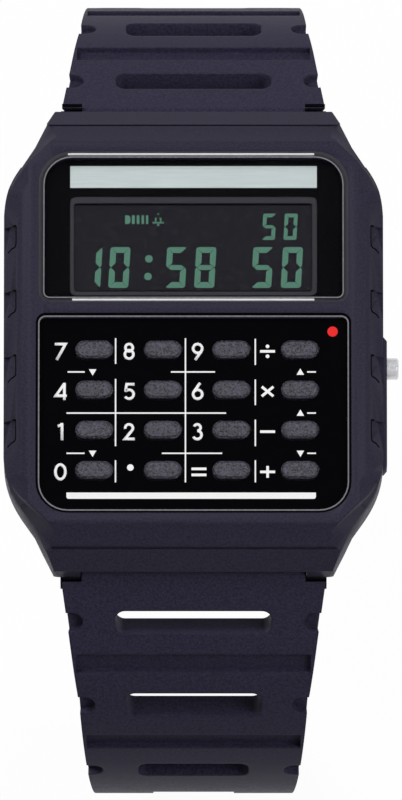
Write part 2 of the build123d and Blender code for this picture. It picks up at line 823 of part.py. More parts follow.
for name, (key_x, key_y) in key_places.items():
    with BuildPart() as key:
        with BuildSketch(Plane.XY.offset(key_foot_z)):
            with Locations((key_x, key_y)):
                Rectangle(key_length + 2 * key_flange, key_width + 2 * key_flange)
        extrude(amount=key_flange_thickness)
        with BuildSketch(Plane.XY.offset(plate_foot_z)):
            with Locations((key_x, key_y)):
                SlotOverall(key_length, key_width)
        extrude(amount=keypad_plate_thickness + key_proud)
        chamfer(key.faces().sort_by(Axis.Z)[-1].edges(), key_edge)
    save(key, name)

# Pusher with its spring, seal and clip
pusher_face_x = half_width + pusher_head_reach
pusher_shoulder_x = pusher_face_x - pusher_head_length
pusher_bore_x = half_width - pusher_bore_depth
clip_x = cavity_half_width - seat_gap - clip_thickness
clip_neck_radius = pusher_stem_radius - clip_slot_depth


def across_pusher(x):
    """Give the plane square to the pusher's axis at a place along X."""
    return Plane(origin=(x, pusher_y, pusher_z), x_dir=(0, 1, 0), z_dir=(1, 0, 0))


with BuildPart() as mode_pusher:
    with BuildSketch(across_pusher(pusher_shoulder_x)):
        Circle(pusher_head_radius)
    extrude(amount=pusher_head_length)
    chamfer(mode_pusher.faces().sort_by(Axis.X)[-1].edges(), pusher_edge)
    with BuildSketch(across_pusher(stem_end_x)):
        Circle(pusher_stem_radius)
    extrude(amount=pusher_shoulder_x - stem_end_x)
    with BuildSketch(across_pusher(clip_x)):
        Circle(pusher_stem_radius)
        Circle(clip_neck_radius, mode=Mode.SUBTRACT)
    extrude(amount=clip_thickness, mode=Mode.SUBTRACT)
save(mode_pusher, "mode_pusher")

with BuildPart() as pusher_clip:
    with BuildSketch(across_pusher(clip_x)):
        Circle(clip_radius)
        Circle(clip_neck_radius, mode=Mode.SUBTRACT)
        with Locations((0, -clip_radius / 2)):
            Rectangle(clip_neck_radius, clip_radius, mode=Mode.SUBTRACT)
    extrude(amount=clip_thickness)
save(pusher_clip, "pusher_clip")

with BuildPart() as pusher_seal:
    with BuildSketch(across_pusher(cavity_half_width + pusher_seal_inset)):
        Circle(pusher_stem_radius + slip_gap + pusher_seal_wall)
        Circle(pusher_stem_radius + slip_gap, mode=Mode.SUBTRACT)
    extrude(amount=pusher_seal_width)
save(pusher_seal, "pusher_seal")

pusher_spring_length = pusher_shoulder_x - pusher_bore_x - pusher_wire
with BuildPart() as pusher_spring:
    with BuildLine() as coil_path:
        Helix(
            pitch=pusher_spring_length / pusher_turns,
            height=pusher_spring_length,
            radius=pusher_coil_radius,
            center=(pusher_bore_x + pusher_wire / 2, pusher_y, pusher_z),
            direction=(1, 0, 0),
        )
    with BuildSketch(Plane(origin=coil_path.line @ 0, z_dir=coil_path.line % 0)):
        RegularPolygon(pusher_wire / 2, wire_sides)
    sweep(is_frenet=True)
save(pusher_spring, "pusher_spring")

# Spring bars in the lugs
for side, bar_name in ((1, "spring_bar_upper"), (-1, "spring_bar_lower")):
    with BuildPart() as spring_bar:
        with BuildSketch(Plane.YZ):
            with Locations((side * pivot_y, pivot_z)):
                Circle(spring_bar_radius)
        extrude(amount=neck_half_width, both=True)
        with BuildSketch(Plane.YZ):
            with Locations((side * pivot_y, pivot_z)):
                Circle(spring_bar_tip_radius)
        extrude(amount=neck_half_width + neck_side_gap + spring_bar_grip, both=True)
    save(spring_bar, bar_name)

# Strap halves, both worked out on the 12 o'clock side and the lower one mirrored
shoulder_y = half_length + shoulder_gap


def strap_point(distance, bend_end, depth):
    """Give Y, Z and the fall at a distance along a strap half, at a depth under its outer face."""
    bend_length = bend_radius * radians(bend_end - strap_fall)
    start = radians(strap_fall)
    bent = min(max(distance - root_run, 0), bend_length)
    fall = start + bent / bend_radius
    straight_in = min(distance, root_run)
    straight_out = max(distance - root_run - bend_length, 0)
    along_y = straight_in * cos(start) + bend_radius * (sin(fall) - sin(start)) + straight_out * cos(fall)
    along_z = straight_in * sin(start) + bend_radius * (cos(start) - cos(fall)) + straight_out * sin(fall)
    return lip_y + along_y - depth * sin(fall), strap_start_z - along_z - depth * cos(fall), fall


def strap_plane(distance, bend_end, depth):
    """Give the plane parallel to a strap's face there, with its local Y leading away from the case."""
    y, z, fall = strap_point(distance, bend_end, depth)
    return Plane(origin=(0, y, z), x_dir=(1, 0, 0), z_dir=(0, sin(fall), cos(fall)))


def strap_half_width(distance):
    """Give half the strap's width at a distance, from its taper."""
    places = [(0, strap_half)]
    places += [(taper_length * along, strap_half * across) for along, across in strap_taper_shares]
    places.append((taper_length * (strap_taper_shares[-1][0] + strap_taper_shares[0][0]), tail_half))
    for (near, near_half), (far, far_half) in zip(places, places[1:]):
        if distance <= far:
            return near_half + (far_half - near_half) * (distance - near) / (far - near)
    return tail_half


def strap_blank(bend_end, tail, tip_radius):
    """Make a strap half without its slots: the bent band with its taper, and the neck round the spring bar."""
    bend_length = bend_radius * radians(bend_end - strap_fall)
    end = root_run + bend_length + tail
    outer_start = (shoulder_y - lip_y) / cos(radians(strap_fall))
    inner_start = outer_start + strap_thickness * sin(radians(strap_fall)) / cos(radians(strap_fall))
    stops = (root_run, root_run + bend_length / 2, root_run + bend_length)
    outer = [strap_point(stop, bend_end, 0)[:2] for stop in (outer_start, *stops, end)]
    inner = [strap_point(stop, bend_end, strap_thickness)[:2] for stop in (inner_start, *stops, end)]
    with BuildPart() as blank:
        with BuildSketch(Plane.YZ):
            with BuildLine():
                Line(outer[0], outer[1])
                ThreePointArc(outer[1], outer[2], outer[3])
                Line(outer[3], outer[4])
                Line(outer[4], inner[4])
                Line(inner[4], inner[3])
                ThreePointArc(inner[3], inner[2], inner[1])
                Line(inner[1], inner[0])
                Line(inner[0], outer[0])
            make_face()
        extrude(amount=strap_half, both=True)
        taper_stops = [taper_length * along for along, across in strap_taper_shares]
        taper_stops.append(taper_stops[-1] + taper_stops[0])
        taper = [(strap_half_width(stop), strap_point(stop, bend_end, 0)[1]) for stop in taper_stops]
        foot_z = min(outer[4][1], inner[4][1])
        right = [(strap_half, face_z), (strap_half, strap_start_z), *taper, (tail_half, foot_z)]
        with BuildSketch(Plane.XZ) as front_outline:
            Polygon(*both_sides(right), align=None)
            if tip_radius:
                fillet(front_outline.vertices().group_by(Axis.Y)[0], tip_radius)
        extrude(amount=-(half_length + case_length), mode=Mode.INTERSECT)
        with BuildSketch(Plane.YZ):
            with Locations((pivot_y, pivot_z)):
                Circle(knuckle_radius)
            Polygon(
                (pivot_y, pivot_z + knuckle_radius), outer[0], inner[0], (pivot_y, pivot_z - knuckle_radius),
                align=None,
            )
        extrude(amount=neck_half_width, both=True)
        with BuildSketch(Plane.YZ):
            with Locations((pivot_y, pivot_z)):
                Circle(spring_bar_radius + slip_gap)
        extrude(amount=neck_half_width + overrun, both=True, mode=Mode.SUBTRACT)
    return blank.part


def strap_pattern(bend_end):
    """Make what is cut from a strap half: the slots, the grooves between them and the pockets in the edges."""
    with BuildPart() as pattern:
        for distance, width, height in zip(slot_places, slot_widths, slot_heights):
            with BuildSketch(strap_plane(distance, bend_end, strap_thickness + overrun)):
                RectangleRounded(width, height, slot_corner)
            extrude(amount=strap_thickness + 2 * overrun)
            edge = strap_half_width(distance)
            with BuildSketch(strap_plane(distance, bend_end, edge_pocket_depth)):
                with Locations((edge, 0), (-edge, 0)):
                    SlotOverall(2 * edge_pocket_reach, edge_pocket_width)
            extrude(amount=edge_pocket_depth + overrun)
        for distance in groove_places:
            groove_length = 2 * (strap_half_width(distance) - groove_margin)
            with BuildSketch(strap_plane(distance, bend_end, groove_depth)):
                Rectangle(groove_length, groove_width)
            extrude(amount=groove_depth + overrun)
    return pattern.part


def strap_holes(bend_end, end):
    """Make the row of adjusting holes that is cut from the tail."""
    with BuildPart() as holes:
        for place in range(hole_count):
            hole_distance = end - hole_last - place * hole_pitch
            with BuildSketch(strap_plane(hole_distance, bend_end, strap_thickness + overrun)):
                Circle(hole_radius)
            extrude(amount=strap_thickness + 2 * overrun)
    return holes.part


def tail_channel(bend_end, tail):
    """Make the shallow channel that is cut along the tail, with the adjusting holes in its floor."""
    channel_length = channel_runout + tail - channel_end
    with BuildPart() as channel:
        with BuildSketch(
            strap_plane(root_run + bend_radius * radians(bend_end - strap_fall), bend_end, channel_depth)
        ):
            with Locations((0, channel_length / 2 - channel_runout)):
                Rectangle(channel_width, channel_length)
        extrude(amount=channel_depth + overrun)
    return channel.part


upper_end = root_run + bend_radius * radians(upper_bend_end - strap_fall) + upper_tail
lower_end = root_run + bend_radius * radians(lower_bend_end - strap_fall) + lower_tail
buckle_y, buckle_z, buckle_fall = strap_point(upper_end, upper_bend_end, strap_thickness / 2)
buckle_plane = strap_plane(upper_end, upper_bend_end, strap_thickness / 2)
buckle_side_plane = Plane(
    origin=(0, buckle_y, buckle_z), x_dir=(0, cos(buckle_fall), -sin(buckle_fall)), z_dir=(1, 0, 0)
)

upper_blank = strap_blank(upper_bend_end, upper_tail, 0)
upper_pattern = strap_pattern(upper_bend_end)
with BuildPart() as strap_upper:
    add(upper_blank)
    add(upper_pattern, mode=Mode.SUBTRACT)
    with BuildSketch(buckle_side_plane):
        Circle(end_knuckle_radius)
    extrude(amount=tail_half, both=True)
    with BuildSketch(buckle_side_plane):
        Circle(buckle_bar_radius)
    extrude(amount=tail_half + overrun, both=True, mode=Mode.SUBTRACT)
    slot_reach = tang_slot_length + end_knuckle_radius + overrun
    with BuildSketch(buckle_plane.offset(-end_knuckle_radius - overrun)):
        with Locations((0, slot_reach / 2 - tang_slot_length)):
            Rectangle(tang_width + 2 * tang_side_gap, slot_reach)
    extrude(amount=2 * (end_knuckle_radius + overrun), mode=Mode.SUBTRACT)
save(strap_upper, "strap_upper")

lower_blank = strap_blank(lower_bend_end, lower_tail, tail_tip_radius)
lower_pattern = strap_pattern(lower_bend_end)
lower_holes = strap_holes(lower_bend_end, lower_end)
lower_channel = tail_channel(lower_bend_end, lower_tail)
with BuildPart() as strap_lower:
    add(lower_blank)
    add(lower_pattern, mode=Mode.SUBTRACT)
    add(lower_channel, mode=Mode.SUBTRACT)
    add(lower_holes, mode=Mode.SUBTRACT)
    mirror(about=Plane.XZ, mode=Mode.REPLACE)
save(strap_lower, "strap_lower")

# Buckle: bar, frame and tang
frame_inner_half = tail_half + frame_side_gap
frame_outer_half = frame_inner_half + frame_arm
with BuildPart() as buckle_bar:
    with BuildSketch(buckle_side_plane):
        Circle(buckle_bar_radius)
    extrude(amount=frame_outer_half - slip_gap, both=True)
save(buckle_bar, "buckle_bar")

with BuildPart() as buckle_frame:
    with BuildSketch(buckle_plane.offset(-frame_thickness / 2)) as frame_outline:
        with Locations((0, (frame_reach - frame_heel) / 2)):
            Rectangle(2 * frame_outer_half, frame_reach + frame_heel)
        fillet(frame_outline.vertices().group_by(Axis.Y)[-1], frame_corner)
        with Locations((0, (frame_reach - frame_bar - frame_heel - overrun) / 2)):
            Rectangle(2 * frame_inner_half, frame_reach - frame_bar + frame_heel + overrun, mode=Mode.SUBTRACT)
    extrude(amount=frame_thickness)
    with BuildSketch(buckle_side_plane):
        Circle(buckle_bar_radius + slip_gap)
    extrude(amount=2 * frame_outer_half, both=True, mode=Mode.SUBTRACT)
    with BuildSketch(buckle_plane.offset(frame_thickness / 2 - tang_notch_depth)):
        with Locations((0, frame_reach)):
            Rectangle(tang_width + 2 * tang_side_gap, 2 * (frame_bar + seat_gap))
    extrude(amount=tang_notch_depth + overrun, mode=Mode.SUBTRACT)
save(buckle_frame, "buckle_frame")

tang_floor = frame_thickness / 2 - tang_notch_depth + slip_gap
with BuildPart() as buckle_tang:
    with BuildSketch(buckle_side_plane):
        Circle(tang_ring_radius)
        Polygon(
            (0, tang_floor),
            (frame_reach - tang_tip_inset, tang_floor),
            (frame_reach - tang_tip_inset, tang_floor + tang_thickness),
            (0, tang_floor + tang_thickness),
            align=None,
        )
        Circle(buckle_bar_radius + slip_gap, mode=Mode.SUBTRACT)
    extrude(amount=tang_width / 2, both=True)
save(buckle_tang, "buckle_tang")

# Keeper loop round the upper half, wide enough for the tail of the lower half on top
keeper_along = upper_end - upper_tail + keeper_distance
keeper_y, keeper_z, keeper_fall = strap_point(keeper_along, upper_bend_end, strap_thickness / 2)
keeper_plane = Plane(
    origin=(0, keeper_y, keeper_z), x_dir=(-1, 0, 0), z_dir=(0, cos(keeper_fall), -sin(keeper_fall))
)
keeper_inner_width = 2 * (tail_half + keeper_gap)
keeper_inner_height = 2 * strap_thickness + 3 * keeper_gap
with BuildPart() as strap_keeper:
    with BuildSketch(keeper_plane.offset(-keeper_length / 2)):
        with Locations((0, (strap_thickness + keeper_gap) / 2)):
            RectangleRounded(
                keeper_inner_width + 2 * keeper_wall, keeper_inner_height + 2 * keeper_wall, keeper_corner
            )
            Rectangle(keeper_inner_width, keeper_inner_height, mode=Mode.SUBTRACT)
    extrude(amount=keeper_length)
save(strap_keeper, "strap_keeper")
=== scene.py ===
import json
from math import atan2, cos, radians, sin, tan

import bmesh
import bpy
from bpy.props import FloatProperty, FloatVectorProperty, PointerProperty
from mathutils import Matrix, Vector


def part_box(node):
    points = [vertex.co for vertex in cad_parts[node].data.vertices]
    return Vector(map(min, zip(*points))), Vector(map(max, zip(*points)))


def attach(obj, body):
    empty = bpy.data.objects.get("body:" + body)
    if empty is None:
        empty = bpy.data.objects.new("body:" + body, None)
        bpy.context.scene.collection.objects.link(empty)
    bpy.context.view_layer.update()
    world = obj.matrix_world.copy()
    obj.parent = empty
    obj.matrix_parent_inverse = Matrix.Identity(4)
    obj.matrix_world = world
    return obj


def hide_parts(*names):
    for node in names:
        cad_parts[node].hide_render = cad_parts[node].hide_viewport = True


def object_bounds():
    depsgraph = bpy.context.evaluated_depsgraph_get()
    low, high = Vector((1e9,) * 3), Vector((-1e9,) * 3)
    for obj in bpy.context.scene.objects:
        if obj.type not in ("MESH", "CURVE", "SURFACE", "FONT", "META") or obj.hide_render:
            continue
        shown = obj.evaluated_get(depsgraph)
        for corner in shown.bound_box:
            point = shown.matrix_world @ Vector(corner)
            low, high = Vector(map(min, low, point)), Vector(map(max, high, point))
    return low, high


bl_info = {
    "name": "Calculator watch",
    "version": (1, 0, 0),
    "blender": (4, 5, 0),
    "location": "View3D > Sidebar > Watch",
    "description": "Dresses a resin calculator watch: its finishes, display, printed keypad and stage",
    "category": "Object",
}

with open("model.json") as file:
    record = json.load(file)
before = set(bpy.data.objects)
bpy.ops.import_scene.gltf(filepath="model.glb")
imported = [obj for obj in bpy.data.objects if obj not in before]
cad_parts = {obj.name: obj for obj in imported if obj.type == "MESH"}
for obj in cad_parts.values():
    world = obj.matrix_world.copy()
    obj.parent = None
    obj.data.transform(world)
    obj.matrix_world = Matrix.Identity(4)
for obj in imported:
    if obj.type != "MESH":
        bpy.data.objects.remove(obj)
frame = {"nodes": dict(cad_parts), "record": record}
CAD_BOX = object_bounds()
MM = 0.001


# Shader helpers

def linear(hex_colour):
    """Turn an sRGB hex value to the linear colour that the shaders use."""
    parts = [int(hex_colour[place:place + 2], 16) / 255 for place in (1, 3, 5)]
    return [c / 12.92 if c <= 0.04045 else ((c + 0.055) / 1.055) ** 2.4 for c in parts] + [1.0]


def shade(colour, share):
    """Make a linear colour lighter or darker by a share of itself."""
    return [c * share for c in colour[:3]] + [1.0]


def per_mm(millimetres):
    """Give the texture scale whose features are about this many millimetres across."""
    return 1 / (millimetres * MM)


def node(tree, kind, settings, inputs):
    """Add one node with its settings, and link each input to a socket or set its value."""
    made = tree.nodes.new(kind)
    for name, value in settings.items():
        setattr(made, name, value)
    for name, value in inputs.items():
        if isinstance(value, bpy.types.NodeSocket):
            tree.links.new(value, made.inputs[name])
        else:
            made.inputs[name].default_value = value
    return made


def new_material(name):
    """Start a material with an empty tree, and give both."""
    material = bpy.data.materials.new(name)
    material.use_nodes = True
    material.node_tree.nodes.clear()
    return material, material.node_tree


# Nearly all of the noise lies between these two
NOISE_LOW, NOISE_HIGH = 0.35, 0.65


def textured(name, constants, colour, size, depth, gloss, spread, stretch=(1, 1, 1), edge=0.0):
    """Give a material whose surface has the fine pattern of its making.

    constants are the shader's fixed values. size is how far apart the pattern's features are and depth how
    deep they are, both in mm. gloss holds the least and the most roughness, spread is how far the colour
    wanders, stretch draws the pattern out along an axis, and edge is the radius in mm that rounds the
    corners to the eye.
    """
    material, tree = new_material(name)
    shader = node(tree, "ShaderNodeBsdfPrincipled", {}, constants)
    node(tree, "ShaderNodeOutputMaterial", {}, {"Surface": shader.outputs["BSDF"]})
    place = node(tree, "ShaderNodeTexCoord", {}, {})
    mapped = node(tree, "ShaderNodeMapping", {}, {"Vector": place.outputs["Object"], "Scale": stretch})
    pattern = node(tree, "ShaderNodeTexNoise", {}, {
        "Vector": mapped.outputs["Vector"], "Scale": per_mm(size), "Detail": 2.0, "Roughness": 0.6,
    })
    rough = node(tree, "ShaderNodeMapRange", {}, {
        "Value": pattern.outputs["Fac"],
        "From Min": NOISE_LOW, "From Max": NOISE_HIGH, "To Min": gloss[0], "To Max": gloss[1],
    })
    tree.links.new(rough.outputs["Result"], shader.inputs["Roughness"])
    ramp = node(tree, "ShaderNodeValToRGB", {}, {"Fac": pattern.outputs["Fac"]})
    low, high = ramp.color_ramp.elements
    low.position, high.position = NOISE_LOW, NOISE_HIGH
    low.color, high.color = shade(colour, 1 - spread), shade(colour, 1 + spread)
    tree.links.new(ramp.outputs["Color"], shader.inputs["Base Color"])
    bump = node(tree, "ShaderNodeBump", {}, {
        "Strength": 1.0, "Distance": depth * MM, "Height": pattern.outputs["Fac"],
    })
    if edge:
        bevel = node(tree, "ShaderNodeBevel", {"samples": 4}, {"Radius": edge * MM})
        tree.links.new(bevel.outputs["Normal"], bump.inputs["Normal"])
    tree.links.new(bump.outputs["Normal"], shader.inputs["Normal"])
    return material


# Finishes

def colours():
    """Give the colours that the user can change."""
    return bpy.context.scene.watch_colours


def case_resin():
    """Moulded resin from a spark-eroded tool: an even satin, with corners that catch a soft light."""
    return textured(
        "moulded_case_resin", {"IOR": 1.5, "Specular IOR Level": 0.1},
        colours().case_resin, size=0.2, depth=0.014, gloss=(0.45, 0.6), spread=0.28, edge=0.12,
    )


def strap_resin():
    """Moulded polyurethane: a softer, duller black than the case, with rounder corners."""
    return textured(
        "moulded_strap_resin", {"IOR": 1.5, "Specular IOR Level": 0.06},
        colours().strap_resin, size=0.22, depth=0.018, gloss=(0.42, 0.58), spread=0.3, edge=0.3,
    )


def black_acrylic():
    """Polished acrylic sheet printed black behind: near black and sharp, with only a faint ripple."""
    return textured(
        "polished_black_acrylic", {"IOR": 1.49, "Specular IOR Level": 0.02},
        colours().fascia, size=1.5, depth=0.0006, gloss=(0.05, 0.1), spread=0.1,
    )


def mask_print():
    """Screen printed black ink behind the pane: flat and dead black."""
    return textured(
        "screen_printed_black", {"IOR": 1.5, "Specular IOR Level": 0.01},
        colours().fascia, size=0.1, depth=0.001, gloss=(0.35, 0.45), spread=0.2,
    )


def key_plastic():
    """Key caps moulded with a coarse grain that a fingertip grips, which glitters in places.

    The real grain is about 0.1 mm across. It is drawn twice as coarse, so that it shows.
    """
    return textured(
        "grained_key_plastic", {"IOR": 1.5, "Specular IOR Level": 0.35},
        colours().key_plastic, size=0.19, depth=0.16, gloss=(0.25, 0.5), spread=0.95,
    )


def clear_pane():
    """Thin clear acrylic, polished on both faces: it shows what lies under it and adds a faint gloss."""
    return textured(
        "clear_cast_acrylic", {"IOR": 1.49, "Alpha": 0.04},
        linear("#101014"), size=3.0, depth=0.0001, gloss=(0.1, 0.14), spread=0.1,
    )


def satin_foil():
    """Satin aluminium foil, rolled along the strip: bright and even, with lines too fine to count."""
    return textured(
        "satin_aluminium_foil", {"Metallic": 0.2, "Specular IOR Level": 0.4},
        colours().strip, size=0.12, depth=0.002, gloss=(0.4, 0.5), spread=0.05, stretch=(0.03, 1, 1),
    )


def lcd_polariser():
    """Dark polariser film on the display glass: a blue-black satin."""
    return textured(
        "dark_polariser", {"IOR": 1.5, "Specular IOR Level": 0.1},
        colours().lcd_ground, size=0.5, depth=0.0004, gloss=(0.2, 0.3), spread=0.06,
    )


def painted_bevel_grey():
    """Grey painted for the light on the display's bevelled frame, laid flat as a thin ring: the border that
    frames the display.
    """
    return textured(
        "screen_printed_grey", {"IOR": 1.5, "Specular IOR Level": 0.2},
        colours().lcd_border, size=0.12, depth=0.001, gloss=(0.35, 0.45), spread=0.12,
    )


def lcd_segment():
    """Clear liquid crystal segments: the grey green reflector shows through them."""
    return textured(
        "clear_liquid_crystal", {"IOR": 1.5, "Specular IOR Level": 0.1},
        colours().segment, size=0.12, depth=0.0004, gloss=(0.35, 0.45), spread=0.08,
    )


def white_ink():
    """Pad printed white ink: flat, with the faint mottle of a thin layer."""
    return textured(
        "pad_printed_white", {"IOR": 1.5, "Specular IOR Level": 0.2},
        colours().ink, size=0.1, depth=0.001, gloss=(0.4, 0.5), spread=0.04,
    )


def red_ink():
    """Pad printed red ink."""
    return textured(
        "pad_printed_red", {"IOR": 1.5, "Specular IOR Level": 0.2},
        colours().red_ink, size=0.1, depth=0.001, gloss=(0.4, 0.5), spread=0.06,
    )


def smoked_edge():
    """Moulded edge against the pane, glossier than the resin round it, so that it draws a thin grey line."""
    return textured(
        "glossy_moulded_edge", {"IOR": 1.5},
        linear("#2e2e35"), size=0.3, depth=0.001, gloss=(0.3, 0.4), spread=0.1,
    )


def painted_bead_highlight():
    """Light grey painted as a highlight on the inner edges of the two openings, glossy as well: a thin light
    line round each.
    """
    return textured(
        "polished_moulded_edge", {"IOR": 1.5},
        linear("#6c6c72"), size=0.3, depth=0.001, gloss=(0.2, 0.3), spread=0.1,
    )


def painted_glint():
    """Near-white painted highlight: the bright line that the window's bevel shows, given as a white bar."""
    return textured(
        "polished_acrylic_edge", {"IOR": 1.49},
        linear("#f0f0f2"), size=0.4, depth=0.001, gloss=(0.1, 0.2), spread=0.03,
    )


def recess_shadow():
    """Matt near-black painted shade in the shoulders, on the keypad's rim and round the grips, where little
    light comes.
    """
    return textured(
        "deep_matt_resin", {"IOR": 1.5, "Specular IOR Level": 0.02},
        linear("#050507"), size=0.2, depth=0.004, gloss=(0.7, 0.8), spread=0.2,
    )


def brushed_steel():
    """Stainless steel brushed one way: long fine lines that stretch the light across them."""
    return textured(
        "brushed_stainless_steel", {"Metallic": 1.0},
        linear("#bfc0c3"), size=0.12, depth=0.003, gloss=(0.22, 0.36), spread=0.06,
        stretch=(0.05, 1, 1), edge=0.06,
    )


def tumbled_steel():
    """Small turned stainless parts, tumbled to a soft shine."""
    return textured(
        "tumbled_stainless_steel", {"Metallic": 1.0},
        linear("#cfd0d3"), size=0.25, depth=0.001, gloss=(0.18, 0.3), spread=0.05, edge=0.06,
    )


def black_rubber():
    """Moulded silicone and nitrile rubber: matt and slightly dusty."""
    return textured(
        "moulded_rubber", {"IOR": 1.45},
        linear("#202022"), size=0.2, depth=0.004, gloss=(0.62, 0.78), spread=0.12,
    )


def natural_acetal():
    """Unpainted engineering plastic: warm off-white with a waxy satin."""
    return textured(
        "natural_acetal", {"IOR": 1.48},
        linear("#d9d5c8"), size=0.4, depth=0.004, gloss=(0.42, 0.55), spread=0.05,
    )


def board_laminate():
    """Glass-epoxy laminate under green solder resist: its weave shows as a fine mottle."""
    return textured(
        "glass_epoxy_laminate", {"IOR": 1.5},
        linear("#1f5a34"), size=0.3, depth=0.003, gloss=(0.32, 0.45), spread=0.15,
    )


def chip_epoxy():
    """Black moulding epoxy: dead matt with a fine filler grain."""
    return textured(
        "moulding_epoxy", {"IOR": 1.5},
        linear("#161618"), size=0.08, depth=0.004, gloss=(0.55, 0.68), spread=0.15,
    )


def contact_brass():
    """Rolled brass strip and disc: a warm satin drawn out by the rollers."""
    return textured(
        "rolled_brass", {"Metallic": 1.0},
        linear("#d9b366"), size=0.12, depth=0.002, gloss=(0.25, 0.38), spread=0.08, stretch=(0.1, 1, 1),
    )


def reflector_foil():
    """Bright crumpled foil behind the display."""
    return textured(
        "reflector_foil", {"Metallic": 1.0},
        linear("#c9ccc9"), size=0.1, depth=0.002, gloss=(0.3, 0.42), spread=0.05,
    )


SLOT_FINISHES = {
    "case_resin": case_resin,
    "strap_resin": strap_resin,
    "fascia": black_acrylic,
    "key_plastic": key_plastic,
    "pane": clear_pane,
    "silver": satin_foil,
    "lcd_glass": lcd_polariser,
    "lcd_foil": reflector_foil,
    "steel": brushed_steel,
    "seal_rubber": black_rubber,
    "frame_plastic": natural_acetal,
    "board_laminate": board_laminate,
    "chip_epoxy": chip_epoxy,
    "contact_brass": contact_brass,
}
NODE_FINISHES = {
    "display_mask": mask_print,
    "mode_pusher": tumbled_steel,
    "case_back_screws": tumbled_steel,
}


# Modelling helpers

def deselect():
    """Leave nothing selected, so that an operator acts on its own piece alone."""
    if bpy.context.mode != "OBJECT":
        bpy.ops.object.mode_set(mode="OBJECT")
    bpy.ops.object.select_all(action="DESELECT")


def take(piece):
    """Select one piece alone and make it active."""
    deselect()
    piece.select_set(True)
    bpy.context.view_layer.objects.active = piece


def edit(piece):
    """Take one piece into edit mode with all of it selected."""
    take(piece)
    bpy.ops.object.mode_set(mode="EDIT")
    bpy.ops.mesh.select_all(action="SELECT")


def settle(piece):
    """Put a piece's place into its mesh, with its object at the origin."""
    take(piece)
    bpy.ops.object.transform_apply(location=True, rotation=True, scale=True)


def apply_modifiers(piece):
    """Apply each modifier of a piece."""
    take(piece)
    for modifier in list(piece.modifiers):
        bpy.ops.object.modifier_apply(modifier=modifier.name)


def join(name, pieces):
    """Join pieces into one mesh under a name."""
    take(pieces[0])
    for piece in pieces:
        piece.select_set(True)
    if len(pieces) > 1:
        bpy.ops.object.join()
    joined = bpy.context.view_layer.objects.active
    joined.name = name
    joined.data.name = name
    return joined


def new_object(name, data):
    """Put a new object with its data into the scene."""
    made = bpy.data.objects.new(name, data)
    bpy.context.scene.collection.objects.link(made)
    return made


def copy_of_node(name, node_name):
    """Copy a piece of the frame as a new piece, its loose triangles merged, and leave it in edit mode."""
    twin = new_object(name, frame["nodes"][node_name].data.copy())
    edit(twin)
    bpy.ops.mesh.remove_doubles(threshold=0.001 * MM)
    return twin


def dress(piece, material, body):
    """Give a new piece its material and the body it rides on."""
    piece.data.materials.clear()
    piece.data.materials.append(material)
    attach(piece, body)


def select_where(piece, kind, wanted):
    """In edit mode, select the vertices, edges or faces of a piece that pass a test."""
    bpy.ops.mesh.select_mode(type={"verts": "VERT", "edges": "EDGE", "faces": "FACE"}[kind])
    bpy.ops.mesh.select_all(action="DESELECT")
    mesh = bmesh.from_edit_mesh(piece.data)
    for item in getattr(mesh, kind):
        if wanted(item):
            item.select_set(True)
    mesh.select_flush_mode()
    bmesh.update_edit_mesh(piece.data)


def upright(edge):
    """Tell whether an edge runs along Z."""
    a, b = (vertex.co for vertex in edge.verts)
    return abs(a.z - b.z) > 10 * max(abs(a.x - b.x), abs(a.y - b.y))


def bar(x0, x1, y0, y1, z0, z1, corner=0.0, segments=3, picked=lambda co: True):
    """Model a flat bar between two places on each axis, its upright corners rounded or cut."""
    deselect()
    middle = ((x0 + x1) / 2, (y0 + y1) / 2, (z0 + z1) / 2)
    bpy.ops.mesh.primitive_cube_add(size=1, location=middle)
    made = bpy.context.object
    made.scale = (x1 - x0, y1 - y0, z1 - z0)
    settle(made)
    if corner:
        round_edges(made, corner, segments, lambda edge: upright(edge) and picked(edge.verts[0].co))
    return made


def block(low, high):
    """Model a bar between two corners given in mm."""
    (x0, y0, z0), (x1, y1, z1) = low, high
    return bar(x0 * MM, x1 * MM, y0 * MM, y1 * MM, z0 * MM, z1 * MM)


def shave(piece, point, keep):
    """Cut a piece by the plane through a point and keep the side that a direction points to."""
    edit(piece)
    bpy.ops.mesh.bisect(plane_co=point, plane_no=keep, use_fill=True, clear_inner=True)
    bpy.ops.object.mode_set(mode="OBJECT")


def trim(piece, point, keep):
    """Cut a piece by an upright plane through a point and keep the side that a direction points to."""
    shave(piece, (point[0], point[1], 0), (keep[0], keep[1], 0))


def round_edges(piece, offset, segments, wanted):
    """Round the edges of a piece that pass a test."""
    edit(piece)
    select_where(piece, "edges", wanted)
    bpy.ops.mesh.bevel(offset=offset, segments=segments, affect="EDGES")
    bpy.ops.object.mode_set(mode="OBJECT")


def mirrored(piece, right, far=1):
    """Turn a settled piece to the sides of the middle that two signs give, its faces pointing outwards."""
    piece.data.transform(Matrix.Diagonal((right, far, 1, 1)))
    if right * far < 0:
        piece.data.flip_normals()
    return piece


def dot(x, y, z0, z1, radius, corners=32, turn=0.0):
    """Model a round dot of ink, or with few corners a triangle."""
    deselect()
    bpy.ops.mesh.primitive_cylinder_add(
        vertices=corners, radius=radius, depth=z1 - z0, location=(x, y, (z0 + z1) / 2), rotation=(0, 0, turn)
    )
    made = bpy.context.object
    settle(made)
    return made


def combine(piece, other, operation):
    """Unite one closed shape with another, or cut the other out of it."""
    step = piece.modifiers.new("combine", "BOOLEAN")
    step.operation = operation
    step.solver = "EXACT"
    step.object = other
    apply_modifiers(piece)
    bpy.data.objects.remove(other, do_unlink=True)
    return piece


def punched(piece, hole):
    """Cut one closed shape out of another."""
    return combine(piece, hole, "DIFFERENCE")


def united(pieces):
    """Unite closed shapes that cross, so that no two faces lie on each other."""
    whole = pieces[0]
    for piece in pieces[1:]:
        combine(whole, piece, "UNION")
    return whole


